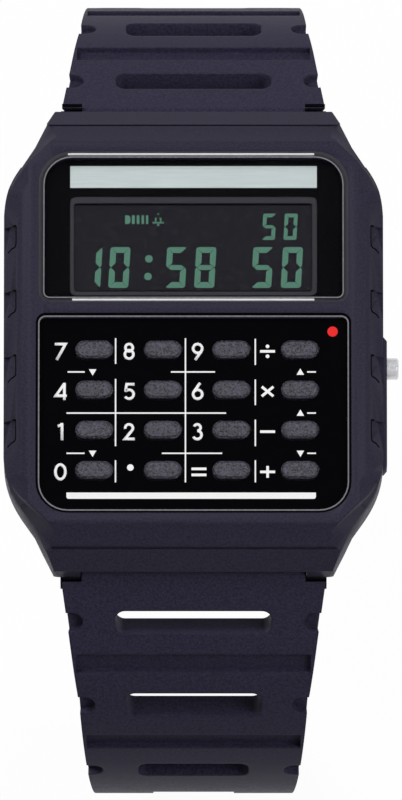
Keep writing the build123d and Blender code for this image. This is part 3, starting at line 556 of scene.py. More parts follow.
def arc(x, y, radius, start, end, stretch=1.0, steps=24):
    """Give the points of an arc from one angle to another, in degrees, stretched along Y."""
    turns = [radians(start + (end - start) * step / steps) for step in range(steps + 1)]
    return [(x + radius * cos(turn), y + radius * stretch * sin(turn)) for turn in turns]


# The centre lines of the printed figures, for a figure 1 high round its middle. A ring ends where it starts
FIGURE_LINES = {
    "0": (arc(0, 0, 0.28, 0, 360, 1.5, 40),),
    "1": ([(0.09, -0.5), (0.09, 0.5)], [(0.09, 0.42), (-0.15, 0.31)]),
    "2": (arc(0, 0.203, 0.217, 190, -38) + [(-0.235, -0.42), (0.325, -0.42)],),
    "3": (arc(-0.02, 0.235, 0.185, 160, -90), arc(-0.02, -0.19, 0.24, 90, -155)),
    "4": ([(0.36, -0.25), (-0.27, -0.25), (0.21, 0.44)], [(0.22, -0.5), (0.22, 0.5)]),
    "5": ([(0.31, 0.42), (-0.14, 0.42), (-0.19, 0.05)] + arc(0.0, -0.16, 0.257, 128, -148),),
    "6": (arc(0, -0.163, 0.257, 0, 360, 1.0, 32), [(0.14, 0.5), (-0.211, -0.01)]),
    "7": ([(-0.33, 0.42), (0.28, 0.42), (-0.22, -0.5)],),
    "8": (arc(0, 0.212, 0.208, 0, 360, 1.0, 32), arc(0, -0.179, 0.241, 0, 360, 1.0, 32)),
    "9": (arc(0, 0.163, 0.257, 0, 360, 1.0, 32), [(-0.14, -0.5), (0.211, 0.01)]),
}


def stroke(points, width, z0, z1):
    """Model one stroke of even width along a line of points."""
    closed = (Vector(points[0]) - Vector(points[-1])).length < 0.0001 * MM
    line = bpy.data.curves.new("stroke", "CURVE")
    line.dimensions = "2D"
    line.fill_mode = "NONE"
    line.extrude = (z1 - z0) / 2
    spline = line.splines.new("POLY")
    kept = points[:-1] if closed else points
    spline.points.add(len(kept) - 1)
    for place, (x, y) in zip(spline.points, kept):
        place.co = (x, y, 0, 1)
    spline.use_cyclic_u = closed
    made = new_object("stroke", line)
    take(made)
    bpy.ops.object.convert(target="MESH")
    made.location.z = (z0 + z1) / 2
    settle(made)
    wall = made.modifiers.new("wall", "SOLIDIFY")
    wall.thickness = width
    wall.offset = 0
    wall.use_even_offset = True
    apply_modifiers(made)
    edit(made)
    bpy.ops.mesh.remove_doubles(threshold=0.0001 * MM)
    bpy.ops.mesh.normals_make_consistent(inside=False)
    bpy.ops.object.mode_set(mode="OBJECT")
    return made


def character(text, x, y, z0, z1, height, width):
    """Model one printed figure, centred on a place, from its strokes."""
    return united([
        stroke([(x + along * height, y + up * height) for along, up in line], width, z0, z1)
        for line in FIGURE_LINES[text]
    ])


# Places read from the frame

LCD_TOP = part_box("lcd_cell")[1].z
MASK_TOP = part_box("display_mask")[1].z
PLATE_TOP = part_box("keypad_plate")[1].z
PANE_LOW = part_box("display_window")[0].z
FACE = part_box("case_body")[1].z


def colour(name, hex_colour):
    """Declare one colour that the user can change."""
    return FloatVectorProperty(
        name=name, description=f"{name}, as linear light", subtype="COLOR", size=4,
        min=0.0, max=1.0, default=linear(hex_colour),
    )


def length(name, description, millimetres):
    """Declare one length that the user can change."""
    return FloatProperty(
        name=name, description=description, default=millimetres * MM,
        subtype="DISTANCE", unit="LENGTH", min=0.0, precision=6,
    )


class WatchColours(bpy.types.PropertyGroup):
    """Colours of the finishes that show."""

    case_resin: colour("Case resin", "#272534")
    strap_resin: colour("Strap resin", "#2c2a3b")
    fascia: colour("Fascia", "#030305")
    key_plastic: colour("Key plastic", "#34333e")
    strip: colour("Header strip", "#bec8c8")
    lcd_ground: colour("Display ground", "#1a1920")
    # The display border's grey is painted light from the bevel round the display.
    lcd_border: colour("Display border", "#2c2b32")
    segment: colour("Display segments", "#54806e")
    ink: colour("White ink", "#e8e8e8")
    red_ink: colour("Red ink", "#e02020")


class WatchPrint(bpy.types.PropertyGroup):
    """Sizes of what is printed or shown on the face."""

    ink_thickness: length("Ink thickness", "How thick a layer of print is", 0.012)
    figure_height: length("Figure height", "Height of the figures beside the keys", 1.6)
    figure_stroke: length("Figure stroke", "Width of the strokes of the figures", 0.25)
    figure_offset: length("Figure offset", "From a key's middle to its figure", 3.05)
    line_width: length("Line width", "Width of the lines between the keys", 0.13)
    sign_stroke: length("Sign stroke", "Width of the strokes of the signs", 0.24)
    sign_size: length("Sign size", "Width of a sign", 1.36)
    bar_width: length("Bar width", "Width of the white bar under the keys", 0.58)
    digit_height: length("Digit height", "Height of the display's large digits", 3.79)
    digit_width: length("Digit width", "Width of the display's large digits", 1.83)
    digit_stroke: length("Digit stroke", "Width of a segment", 0.54)
    digit_gap: length("Digit gap", "Gap between two segments", 0.05)
    small_digit_height: length("Small digit height", "Height of the display's small digits", 2.45)


def sizes():
    """Give the sizes that the user can change."""
    return bpy.context.scene.watch_print


# The display's figures: each digit's lower left corner and each dot's middle, in mm
DIGIT_LEAN = radians(3.2)
LARGE_DIGITS = (("1", -10.3), ("0", -7.75), ("5", -2.6), ("8", 0.045), ("5", 5.22), ("0", 7.91))
LARGE_DIGIT_Y = 4.39
SMALL_DIGITS = (("5", 6.2), ("0", 8.16))
SMALL_DIGIT_Y = 8.85
COLON_DOTS = ((-4.05, 7.09), (-4.13, 5.45))
COLON_RADIUS = 0.345
LIT_SEGMENTS = {"0": "abcdef", "1": "bc", "5": "acdfg", "8": "abcdefg"}
# Shares: a mitre's set-back of the gap, then a side's tip and half the middle segment of the stroke
MITRE_SHARE, TIP_SHARE, MIDDLE_SHARE = 0.7, 0.3, 0.42
# The row over the digits: the sound bars' foot and top, the source's ends, and each bar's left end and width
SOUND_ROW = (10.32, 11.14)
SOUND_SOURCE = (-6.22, -5.72)
SOUND_BARS = ((-5.6, 0.27), (-5.16, 0.25), (-4.72, 0.23), (-4.32, 0.21))
SOURCE_CORNER, SOUND_BAR_CORNER = 0.3, 0.06
# The bell: its middle, then the heights of its rim, dome, button and clapper
BELL = (-3.21, 10.45, 10.9, 11.25, 10.25)
# The bell's stroke, and half the width of its dome and of its rim
BELL_STROKE, BELL_HALF, BELL_RIM_HALF = 0.15, 0.3, 0.52
BUTTON_RADIUS, CLAPPER_RADIUS = 0.08, 0.12
# The display's border, a grey ring painted for the light on its bevelled frame, outside and inside: its left,
# right, lower and upper edge, and its rounding
BORDER = (-11.2, 11.2, 3.65, 12.79)
BORDER_OPENING = (-10.86, 10.79, 4.0, 12.22)
BORDER_CORNER, OPENING_CORNER = 0.55, 0.3


def segment_masters(z0, z1):
    """Model the seven segments of one large digit, mitred where they meet."""
    size = sizes()
    width, height, stroke, gap = size.digit_width, size.digit_height, size.digit_stroke, size.digit_gap
    middle, set_back = height / 2, gap * MITRE_SHARE
    masters = {}
    for name, upper in (("a", True), ("d", False)):
        outer_y = height if upper else 0.0
        inward = -1 if upper else 1
        y0, y1 = sorted((outer_y, outer_y + inward * stroke))
        piece = bar(0, width, y0, y1, z0, z1, stroke / 2, 4, lambda co: abs(co.y - outer_y) < stroke / 2)
        trim(piece, (set_back, outer_y), (1, -inward))
        trim(piece, (width - set_back, outer_y), (-1, -inward))
        masters[name] = piece
    for name, left, upper in (("f", True, True), ("b", False, True), ("e", True, False), ("c", False, False)):
        outer_x = 0.0 if left else width
        outer_y = height if upper else 0.0
        across = 1 if left else -1
        along = -1 if upper else 1
        x0, x1 = sorted((outer_x, outer_x + across * stroke))
        y0, y1 = sorted((outer_y, middle))
        piece = bar(
            x0, x1, y0, y1, z0, z1, stroke / 2, 4,
            lambda co: abs(co.x - outer_x) < stroke / 2 and abs(co.y - outer_y) < stroke / 2,
        )
        tip = (outer_x + across * stroke * TIP_SHARE, middle - along * gap / 2)
        trim(piece, (outer_x, outer_y + along * set_back), (-across, along))
        trim(piece, tip, (-across, -along))
        trim(piece, tip, (across, -2 * along))
        masters[name] = piece
    inset, half = stroke * TIP_SHARE + set_back, stroke * MIDDLE_SHARE
    masters["g"] = bar(inset, width - inset, middle - half, middle + half, z0, z1, half * 0.98, 1)
    return masters


def place_digit(masters, figure, x, y, scale):
    """Copy the lit segments of a figure to a place, leaning as the real digits do."""
    lean = Matrix.Identity(4)
    lean[0][1] = tan(DIGIT_LEAN)
    placed = []
    for name in LIT_SEGMENTS[figure]:
        segment = new_object(f"segment_{name}", masters[name].data.copy())
        segment.data.transform(Matrix.Translation((x, y, 0)) @ Matrix.Diagonal((scale, scale, 1, 1)) @ lean)
        placed.append(segment)
    return placed


def sound_bars(z0, z1):
    """Model the row of sound bars: a rounded source and four thin bars."""
    foot, top = (place * MM for place in SOUND_ROW)
    left, right = (place * MM for place in SOUND_SOURCE)
    corner, middle = SOURCE_CORNER * MM, (left + right) / 2
    bars = [bar(left, right, foot, top, z0, z1, corner, 4, lambda co: co.x > middle)]
    for left, width in SOUND_BARS:
        bars.append(bar(left * MM, (left + width) * MM, foot, top, z0, z1, SOUND_BAR_CORNER * MM, 2))
    return bars


def alarm_bell(z0, z1):
    """Model the small bell: an open dome on its rim, with a button and a clapper."""
    middle, rim_y, dome_y, button_y, clapper_y = (place * MM for place in BELL)
    stroke, half, rim_half = BELL_STROKE * MM, BELL_HALF * MM, BELL_RIM_HALF * MM
    dome = dot(middle, dome_y, z0, z1, half)
    dome = punched(dome, dot(middle, dome_y, z0 - stroke, z1 + stroke, half - stroke))
    trim(dome, (middle, dome_y), (0, 1))
    walls = [middle + side * (half - stroke / 2) for side in (1, -1)]
    sides = [bar(wall - stroke / 2, wall + stroke / 2, rim_y, dome_y, z0, z1) for wall in walls]
    rim = bar(middle - rim_half, middle + rim_half, rim_y - stroke / 2, rim_y + stroke / 2, z0, z1)
    button = dot(middle, button_y, z0, z1, BUTTON_RADIUS * MM, 16)
    clapper = dot(middle, clapper_y, z0, z1, CLAPPER_RADIUS * MM, 16)
    return [dome, *sides, rim, button, clapper]


# Marks on the keypad, in mm: lines with the spans that they cover, and triangles with the way they point
COLUMN_LINES = (
    (-7.06, ((-2.8, -0.43), (-10.42, -4.2), (-13.77, -11.73))),
    (-0.73, ((-13.77, -0.43),)),
    (5.6, ((-2.9, -0.48), (-6.62, -4.25), (-10.42, -7.97), (-13.77, -11.73))),
)
ROW_LINES = (
    (-3.55, ((-11.41, -9.86), (-2.05, 1.95), (10.3, 11.09))),
    (-7.36, ((-11.5, 2.95), (10.3, 11.09))),
    (-11.08, ((-11.5, -9.86), (-2.86, 2.59), (10.3, 11.09))),
)
TRIANGLES = (
    (-9.14, -3.5, False), (-9.14, -11.03, False),
    (9.68, -3.62, True), (9.68, -7.42, True), (9.68, -11.03, False),
)
TRIANGLE_WIDTH = 0.68
WHITE_BAR = (-11.5, 11.08, -15.0)
RED_DOT = (12.61, 0.19, 0.47)
# Print lies this much below the middle of its key, and a sign this much nearer to the key than a figure
PRINT_DROP, SIGN_SHIFT = 0.13, 0.12
# A plus's height for its width, half an equals's gap, a times arm's lean, and each dot's height and radius
PLUS_SHARE, EQUALS_HALF, TIMES_LEAN = 0.8, 0.28, radians(40)
DIVIDE_DOT, POINT_DOT = (0.46, 0.17), (0.4, 0.3)


def beside_key(name, shift=0.0):
    """Give the place of what is printed beside a key, moved towards the key by so many mm."""
    low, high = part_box(name)
    x, y = (low.x + high.x) / 2, (low.y + high.y) / 2
    return x - sizes().figure_offset + shift * MM, y - PRINT_DROP * MM


def key_signs(z0, z1):
    """Model the signs beside the right column and the lower row from strokes and dots."""
    half, stroke = sizes().sign_size / 2, sizes().sign_stroke / 2

    def line(x, y):
        return bar(x - half, x + half, y - stroke, y + stroke, z0, z1)

    made = [line(*beside_key(name, SIGN_SHIFT)) for name in ("key_divide", "key_minus")]
    x, y = beside_key("key_plus", SIGN_SHIFT)
    tall = half * PLUS_SHARE
    made.append(united([line(x, y), bar(x - stroke, x + stroke, y - tall, y + tall, z0, z1)]))
    x, y = beside_key("key_divide", SIGN_SHIFT)
    rise, radius = (value * MM for value in DIVIDE_DOT)
    made.extend(dot(x, y + side * rise, z0, z1, radius, 20) for side in (1, -1))
    x, y = beside_key("key_equals", SIGN_SHIFT)
    made.extend(line(x, y + side * EQUALS_HALF * MM) for side in (1, -1))
    x, y = beside_key("key_times", SIGN_SHIFT)
    arms = []
    for side in (1, -1):
        arm = line(0, 0)
        arm.rotation_euler = (0, 0, side * TIMES_LEAN)
        arm.location = (x, y, 0)
        settle(arm)
        arms.append(arm)
    made.append(united(arms))
    x, y = beside_key("key_point", SIGN_SHIFT)
    rise, radius = (value * MM for value in POINT_DOT)
    made.append(dot(x, y + rise, z0, z1, radius))
    return made


def key_figures(z0, z1):
    """Model the figures beside the number keys."""
    size = sizes()
    return [
        character(figure, *beside_key(f"key_{figure}"), z0, z1, size.figure_height, size.figure_stroke)
        for figure in FIGURE_LINES
    ]


def key_lines(z0, z1):
    """Model the thin lines that divide the keys, with the small triangles in their gaps."""
    half = sizes().line_width / 2
    columns, rows = [], []
    for x, spans in COLUMN_LINES:
        columns.extend(bar(x * MM - half, x * MM + half, low * MM, high * MM, z0, z1) for low, high in spans)
    for y, spans in ROW_LINES:
        rows.extend(bar(low * MM, high * MM, y * MM - half, y * MM + half, z0, z1) for low, high in spans)
    made = [united([join("columns", columns), join("rows", rows)])]
    radius = TRIANGLE_WIDTH * MM / 3 ** 0.5
    for x, y, up in TRIANGLES:
        made.append(dot(x * MM, y * MM, z0, z1, radius, 3, 0 if up else radians(180)))
    return made


# The case's upper shell, in mm: its outline from the flank to the lug tip, and its slopes
KNEE = (17.2, 13.6)
HIP = (14.4, 17.6)
LUG_TIP = (12.5, 21.6)
KNEE_ROUNDING = 2.4
SHELL_LOW = 5.85
FLANK_EDGE = (17.2, 6.0)
FACE_EDGE = 15.5
CREASE = (17.6, 8.2)
SHELF = (19.5, 6.4)
LIP = (21.35, 4.3)
# How far the new shell stands out, how much its upper edges are rounded, and what angle is shaded smooth
SKIN, EDGE_ROUNDING, SHALLOW = 0.02, 0.2, radians(32)
# Each opening: width, length, middle, radius at the top and at the foot, bevel
WINDOW = (27.3, 13.2, 9.76, 2.6, 0.6, 0.4)
KEYPAD = (28.0, 17.9, -7.48, 0.6, 2.6, 0.3)
# What is first cut off the old face: half its width and length, and its depth
FACE_CUT = (20, 25, 0.03)
# A fold line. Like the blocks below it is given by two corners, and a plane by a point and the side kept
FOLD_LINE = ((-13.6, 19.55, 6.05), (13.6, 19.7, 6.6))
# A grip pocket: its inner and outer side, length, foot, top and rounding, and the plane of its floor
GRIP_TOPS = (-7.95, -1.95, 4.05, 10.05)
GRIP_POCKET = (16.15, 17.8, 2.6, 5.87, 8.4, 0.3)
GRIP_FLOOR = ((16.6, 6.32), (0.94, 0.17, 0.31))
# The black line painted as shadow round a grip pad, measured across the flank and from the pad's top, its
# width and how far it rises
GRIP_PAD = [(0.05, 0), (-0.25, 0)] + arc(-0.25, -0.15, 0.15, 90, 180, 1.0, 4) + [
    (-0.4, -1.75), (-0.2, -2.0), (0.3, -2.1), (0.8, -2.38),
]
GRIP_LINE_WIDTH, GRIP_LINE_RISE = 0.14, 0.012
# A shoulder's lip, painted black as shade, the plane that leans it in, the filler beside the neck, and the
# upper strap's strip of painted shade
LIP_BLOCK = ((10.12, 20.9, -0.4), (12.08, 22.03, 1.65))
LIP_PLANE = ((0, 21.62, 1.65), (0, 0.65, -0.37))
NECK_FILLER = ((10.12, 19.2, 0.7), (10.24, 21.9, 2.6))
UPPER_SHADE_STRIP = ((10.16, 22.05, 3.1), (11.98, 22.28, 3.43))
# A bead, a ring painted light grey as a highlight: its opening, how far its two sides lie outside that, its
# foot and its top
BEADS = ((KEYPAD, 0.08, -0.04, 7.6, 8.02), (WINDOW, -0.02, -0.13, 7.955, 8.03))
# The window's painted glints, bright lines: left end, right end and place along Y, then half their thickness,
# their taper and how far below the face they lie
GLINTS = ((-11.4, 10.95, 16.57), (-11.0, 10.95, 3.0))
GLINT_HALF, GLINT_TAPER, GLINT_DEPTH = 0.085, 0.12, 0.2
PANE_LIFT = 0.04


def opening_block(opening, grow, z0, z1):
    """Model a closed block with the outline of an opening, grown by so many mm."""
    width, span, middle, top_radius, foot_radius = opening[:5]
    half = (width / 2 + grow) * MM
    low, high = (middle - span / 2 - grow) * MM, (middle + span / 2 + grow) * MM
    made = bar(
        -half, half, low, high, z0 * MM, z1 * MM, (top_radius + grow) * MM, 8, lambda co: co.y > middle * MM
    )
    round_edges(
        made, (foot_radius + grow) * MM, 8,
        lambda edge: upright(edge) and edge.verts[0].co.y < low + 0.01 * MM,
    )
    return made


def flared_block(opening):
    """Model the block that cuts an opening's bevel, its foot edges cut at 45 degrees."""
    bevel = opening[5]
    face = FACE / MM
    made = opening_block(opening, bevel, face - bevel, face + 1)
    foot = (face - bevel + 0.01) * MM
    round_edges(made, bevel * MM, 1, lambda edge: max(vertex.co.z for vertex in edge.verts) < foot)
    return made


def flank_slope():
    """Give how far a flank's bevel rises and how far it runs inwards, in mm."""
    return FACE / MM - FLANK_EDGE[1], FLANK_EDGE[0] - FACE_EDGE


def upper_shell():
    """Model the case from just above the guard: its outline, bevelled flanks and the slopes at both ends."""
    shell = bar(
        -(KNEE[0] + SKIN) * MM, (KNEE[0] + SKIN) * MM, -LUG_TIP[1] * MM, LUG_TIP[1] * MM, SHELL_LOW * MM, FACE
    )
    for right in (1, -1):
        for far in (1, -1):
            for near_corner, far_corner in ((KNEE, HIP), (HIP, LUG_TIP)):
                run = (far_corner[0] - near_corner[0], far_corner[1] - near_corner[1])
                point = ((near_corner[0] + SKIN) * right * MM, near_corner[1] * far * MM)
                trim(shell, point, (-run[1] * right, run[0] * far))
    knee = (KNEE[0] - 0.1) * MM
    round_edges(
        shell, KNEE_ROUNDING * MM, 8,
        lambda edge: upright(edge) and min(abs(vertex.co.x) for vertex in edge.verts) > knee,
    )
    rise, run = flank_slope()
    for right in (1, -1):
        shave(shell, (right * (FLANK_EDGE[0] + SKIN) * MM, 0, FLANK_EDGE[1] * MM), (-rise * right, 0, -run))
    for near, far in ((CREASE, SHELF), (SHELF, LIP)):
        for side in (1, -1):
            point = (0, side * (near[0] + SKIN) * MM, near[1] * MM)
            shave(shell, point, (0, (far[1] - near[1]) * side, near[0] - far[0]))
    foot, flank_foot = (SHELL_LOW + 0.01) * MM, (FLANK_EDGE[1] + EDGE_ROUNDING) * MM

    def upper_edge(edge):
        low, high = sorted(vertex.co.z for vertex in edge.verts)
        return low > foot and high > flank_foot and edge.calc_face_angle(0) > 0.2

    round_edges(shell, EDGE_ROUNDING * MM, 3, upper_edge)
    return shell


def grip_cutter(top):
    """Model the block that cuts one grip pocket, deepest at its top and at the flank's outer edge."""
    inner, outer, span, z0, z1, rounding = (value * MM for value in GRIP_POCKET)
    y1 = top * MM
    cutter = bar(inner, outer, y1 - span, y1, z0, z1, rounding, 3, lambda co: co.y > y1 - span / 2)
    (x, z), keep = GRIP_FLOOR
    shave(cutter, (x * MM, y1, z * MM), keep)
    return cutter


def grip_shadow_line(top):
    """Model the line of painted shadow round one grip pad, let into the sloping flank and square to it."""
    width, rise = GRIP_LINE_WIDTH * MM, GRIP_LINE_RISE * MM
    line = stroke([(across * MM, (top + y) * MM) for across, y in GRIP_PAD], width, -width, rise)
    line.rotation_euler = (0, atan2(*flank_slope()), 0)
    line.location = ((FLANK_EDGE[0] + FACE_EDGE) / 2 * MM, 0, (FLANK_EDGE[1] * MM + FACE) / 2)
    settle(line)
    return line


def case_shell():
    """Copy the case, give it the upper shell and cut the openings, grips and fold lines into that."""
    shell = copy_of_node("case_shell", "case_body")
    bpy.ops.object.mode_set(mode="OBJECT")
    half_x, half_y, depth = (value * MM for value in FACE_CUT)
    punched(shell, bar(-half_x, half_x, -half_y, half_y, FACE - depth, FACE + MM))
    upper = upper_shell()
    for opening in (WINDOW, KEYPAD):
        punched(upper, opening_block(opening, -0.01, SHELL_LOW - 1, FACE / MM + 1))
        punched(upper, flared_block(opening))
    combine(shell, upper, "UNION")
    for top in GRIP_TOPS:
        for right in (1, -1):
            punched(shell, mirrored(grip_cutter(top), right))
    for side in (1, -1):
        punched(shell, mirrored(block(*FOLD_LINE), 1, side))
    return shell


def shoulder_shade_lip():
    """Model one lip of painted shade: it leans in under the lug, clear of it in each pose, and fills the gap
    by the neck.
    """
    lip = block(*LIP_BLOCK)
    point, keep = LIP_PLANE
    shave(lip, [value * MM for value in point], keep)
    lip = join("lip", [lip, block(*NECK_FILLER)])
    round_edges(lip, 0.08 * MM, 2, lambda edge: min(vertex.co.z for vertex in edge.verts) > 1.6 * MM)
    return lip


def glint(left, right, y):
    """Model one painted glint, a bright bar on the window's bevel, its ends tapered."""
    half = GLINT_HALF * MM
    line = bar(left * MM, right * MM, -half, half, -half, half)
    shave(line, (left * MM, -half, 0), (GLINT_TAPER, 1, 0))
    shave(line, (right * MM, -half, 0), (-GLINT_TAPER, 1, 0))
    line.rotation_euler = (radians(45), 0, 0)
    line.location = (0, y * MM, FACE - GLINT_DEPTH * MM)
    settle(line)
    return line


def bevel_skin(opening):
    """Model the thin skin that lies on an opening's bevel: only the slanting faces of the cutter stay."""
    skin = flared_block(opening)
    edit(skin)
    select_where(skin, "faces", lambda face: not -0.95 < face.normal.z < -0.2)
    bpy.ops.mesh.delete(type="FACE")
    bpy.ops.mesh.select_all(action="SELECT")
    bpy.ops.mesh.flip_normals()
    bpy.ops.object.mode_set(mode="OBJECT")
    wall = skin.modifiers.new("wall", "SOLIDIFY")
    wall.thickness = 0.012 * MM
    wall.offset = 1
    apply_modifiers(skin)
    return skin


# Stage

CAMERA_TILT = radians(12)
CAMERA_DISTANCE = 1650 * MM
VIEW_HEIGHT = 72.73 * MM
VIEW_CENTRE = (0.68 * MM, -5.045 * MM)
PIVOT_HEIGHT = 2.74 * MM
# How far the floor lies under the strap, its width in metres, and how much of the shadow its glow hides
FLOOR_GAP, FLOOR_WIDTH, FLOOR_GLOW = 1 * MM, 2.4, 0.95
SURROUNDINGS_LIGHT = 0.3
# Each soft box: its name, its place and width in metres, and its power in watts
LAMPS = (("key_light", (-0.3, 0.3, 0.5), 0.3, 2.9), ("fill_light", (0.36, -0.08, 0.45), 0.3, 1.7))


def seen_directly(tree):
    """Give 1 where a surface is seen by the camera, in a reflection or through glass, and 0 elsewhere."""
    path = node(tree, "ShaderNodeLightPath", {}, {})
    camera_or_gloss = node(tree, "ShaderNodeMath", {"operation": "MAXIMUM"}, {
        0: path.outputs["Is Camera Ray"], 1: path.outputs["Is Glossy Ray"],
    })
    seen = node(tree, "ShaderNodeMath", {"operation": "MAXIMUM"}, {
        0: camera_or_gloss.outputs["Value"], 1: path.outputs["Is Transmission Ray"],
    })
    return seen.outputs["Value"]


def lay_floor():
    """Lay the pale floor just under the strap. It looks white, and keeps a share of the object's shadow."""
    deselect()
    bpy.ops.mesh.primitive_plane_add(size=FLOOR_WIDTH, location=(0, 0, CAD_BOX[0][2] - FLOOR_GAP))
    floor = bpy.context.object
    floor.name = "floor"
    settle(floor)
    material, tree = new_material("white_paper")
    share = node(tree, "ShaderNodeMath", {"operation": "MULTIPLY"}, {0: seen_directly(tree), 1: FLOOR_GLOW})
    paper = node(tree, "ShaderNodeBsdfDiffuse", {}, {"Color": linear("#f4f4f4")})
    glow = node(tree, "ShaderNodeEmission", {}, {"Color": (1, 1, 1, 1), "Strength": 1.0})
    mixed = node(tree, "ShaderNodeMixShader", {}, {
        0: share.outputs["Value"], 1: paper.outputs["BSDF"], 2: glow.outputs["Emission"],
    })
    node(tree, "ShaderNodeOutputMaterial", {}, {"Surface": mixed.outputs["Shader"]})
    floor.data.materials.append(material)


def white_surroundings():
    """Surround the object with soft white, plain to the eye and gentler as a light."""
    world = bpy.data.worlds.new("soft_studio")
    world.use_nodes = True
    tree = world.node_tree
    tree.nodes.clear()
    strength = node(tree, "ShaderNodeMapRange", {}, {
        "Value": seen_directly(tree), "To Min": SURROUNDINGS_LIGHT, "To Max": 1.0,
    })
    background = node(tree, "ShaderNodeBackground", {}, {"Strength": strength.outputs["Result"]})
    node(tree, "ShaderNodeOutputWorld", {}, {"Surface": background.outputs["Background"]})
    bpy.context.scene.world = world


def soft_light(name, place, size, power):
    """Hang one soft box that points at the face."""
    lamp = bpy.data.lights.new(name, "AREA")
    lamp.shape = "SQUARE"
    lamp.size = size
    lamp.energy = power
    holder = new_object(name, lamp)
    holder.location = place
    holder.rotation_euler = Vector(place).to_track_quat("Z", "Y").to_euler()


def aim_camera():
    """Stand the camera where the photograph was taken, a little below square to the face."""
    camera = bpy.data.cameras.new("camera")
    camera.sensor_width = 36
    camera.lens = camera.sensor_width * CAMERA_DISTANCE / VIEW_HEIGHT
    camera.clip_end = 10
    right = Vector((1, 0, 0))
    up = Vector((0, cos(CAMERA_TILT), sin(CAMERA_TILT)))
    back = Vector((0, -sin(CAMERA_TILT), cos(CAMERA_TILT)))
    target = Vector((0, 0, PIVOT_HEIGHT)) + VIEW_CENTRE[0] * right + VIEW_CENTRE[1] * up
    holder = new_object("camera", camera)
    holder.location = target + CAMERA_DISTANCE * back
    holder.rotation_euler = (CAMERA_TILT, 0, 0)
    bpy.context.scene.camera = holder
    bpy.context.scene.view_settings.view_transform = "Standard"


# Operators

class WATCH_OT_dress_frame(bpy.types.Operator):
    """Give each piece of the frame the finish of its real material"""

    bl_idname = "watch.dress_frame"
    bl_label = "Dress the frame"

    def execute(self, context):
        slots = {row["node"]: row["material_slot"] for row in frame["record"]["subparts"]}
        made = {}
        for name, piece in frame["nodes"].items():
            finish = NODE_FINISHES.get(name) or SLOT_FINISHES[slots[name]]
            if finish not in made:
                made[finish] = finish()
            piece.data.materials.clear()
            piece.data.materials.append(made[finish])
        return {"FINISHED"}


class WATCH_OT_model_case(bpy.types.Operator):
    """Model the case's soft upper edges, its grips and the fold lines"""

    bl_idname = "watch.model_case"
    bl_label = "Model the case"

    def execute(self, context):
        shell = case_shell()
        take(shell)
        bpy.ops.object.shade_smooth_by_angle(angle=SHALLOW)
        dress(shell, case_resin(), "case")
        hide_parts("case_body")
        lines = [mirrored(grip_shadow_line(top), right) for right in (1, -1) for top in GRIP_TOPS]
        # The lines round the grips are near-black painted shadow.
        dress(join("grip_lines", lines), recess_shadow(), "case")
        return {"FINISHED"}


class WATCH_OT_close_shoulders(bpy.types.Operator):
    """Model the lips of the strap's shoulders, painted black as shade, which close the gaps under the lugs"""

    bl_idname = "watch.close_shoulders"
    bl_label = "Close the shoulders"

    def execute(self, context):
        for name, side, body in (("upper_lips", 1, "upper_strap"), ("lower_lips", -1, "lower_strap")):
            lips = []
            for right in (1, -1):
                lips.append(mirrored(shoulder_shade_lip(), right, side))
                if side > 0:
                    lips.append(mirrored(block(*UPPER_SHADE_STRIP), right))
            # The lips and strips are painted near black as the shade in the gaps.
            dress(join(name, lips), recess_shadow(), body)
        return {"FINISHED"}


class WATCH_OT_fit_pane(bpy.types.Operator):
    """Fit the clear pane over the display, a hair above the mask"""

    bl_idname = "watch.fit_pane"
    bl_label = "Fit the pane"

    def execute(self, context):
        pane = copy_of_node("display_pane", "display_window")
        select_where(pane, "verts", lambda vertex: vertex.co.z < PANE_LOW + 0.01 * MM)
        bpy.ops.transform.translate(value=(0, 0, PANE_LIFT * MM))
        bpy.ops.object.mode_set(mode="OBJECT")
        dress(pane, clear_pane(), "case")
        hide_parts("display_window")
        return {"FINISHED"}


class WATCH_OT_light_display(bpy.types.Operator):
    """Show the time in leaning seven segment digits, with the sound bars and the bell"""

    bl_idname = "watch.light_display"
    bl_label = "Light the display"

    def execute(self, context):
        size = sizes()
        z0, z1 = LCD_TOP, LCD_TOP + size.ink_thickness
        masters = segment_masters(z0, z1)
        shown = []
        for figure, x in LARGE_DIGITS:
            shown += place_digit(masters, figure, x * MM, LARGE_DIGIT_Y * MM, 1)
        small = size.small_digit_height / size.digit_height
        for figure, x in SMALL_DIGITS:
            shown += place_digit(masters, figure, x * MM, SMALL_DIGIT_Y * MM, small)
        for master in masters.values():
            bpy.data.objects.remove(master, do_unlink=True)
        shown += [dot(x * MM, y * MM, z0, z1, COLON_RADIUS * MM) for x, y in COLON_DOTS]
        shown += sound_bars(z0, z1)
        shown += alarm_bell(z0, z1)
        dress(join("lcd_segments", shown), lcd_segment(), "case")
        return {"FINISHED"}


class WATCH_OT_paint_border_light(bpy.types.Operator):
    """Lay the grey border that frames the display, painted for the light on its bevelled frame"""

    bl_idname = "watch.print_border"
    bl_label = "Print the display's border"

    def execute(self, context):
        z0, z1 = MASK_TOP, MASK_TOP + sizes().ink_thickness
        border = bar(*(edge * MM for edge in BORDER), z0, z1, BORDER_CORNER * MM, 5)
        opening = bar(*(edge * MM for edge in BORDER_OPENING), z0 - MM, z1 + MM, OPENING_CORNER * MM, 4)
        dress(join("display_border", [punched(border, opening)]), painted_bevel_grey(), "case")
        return {"FINISHED"}


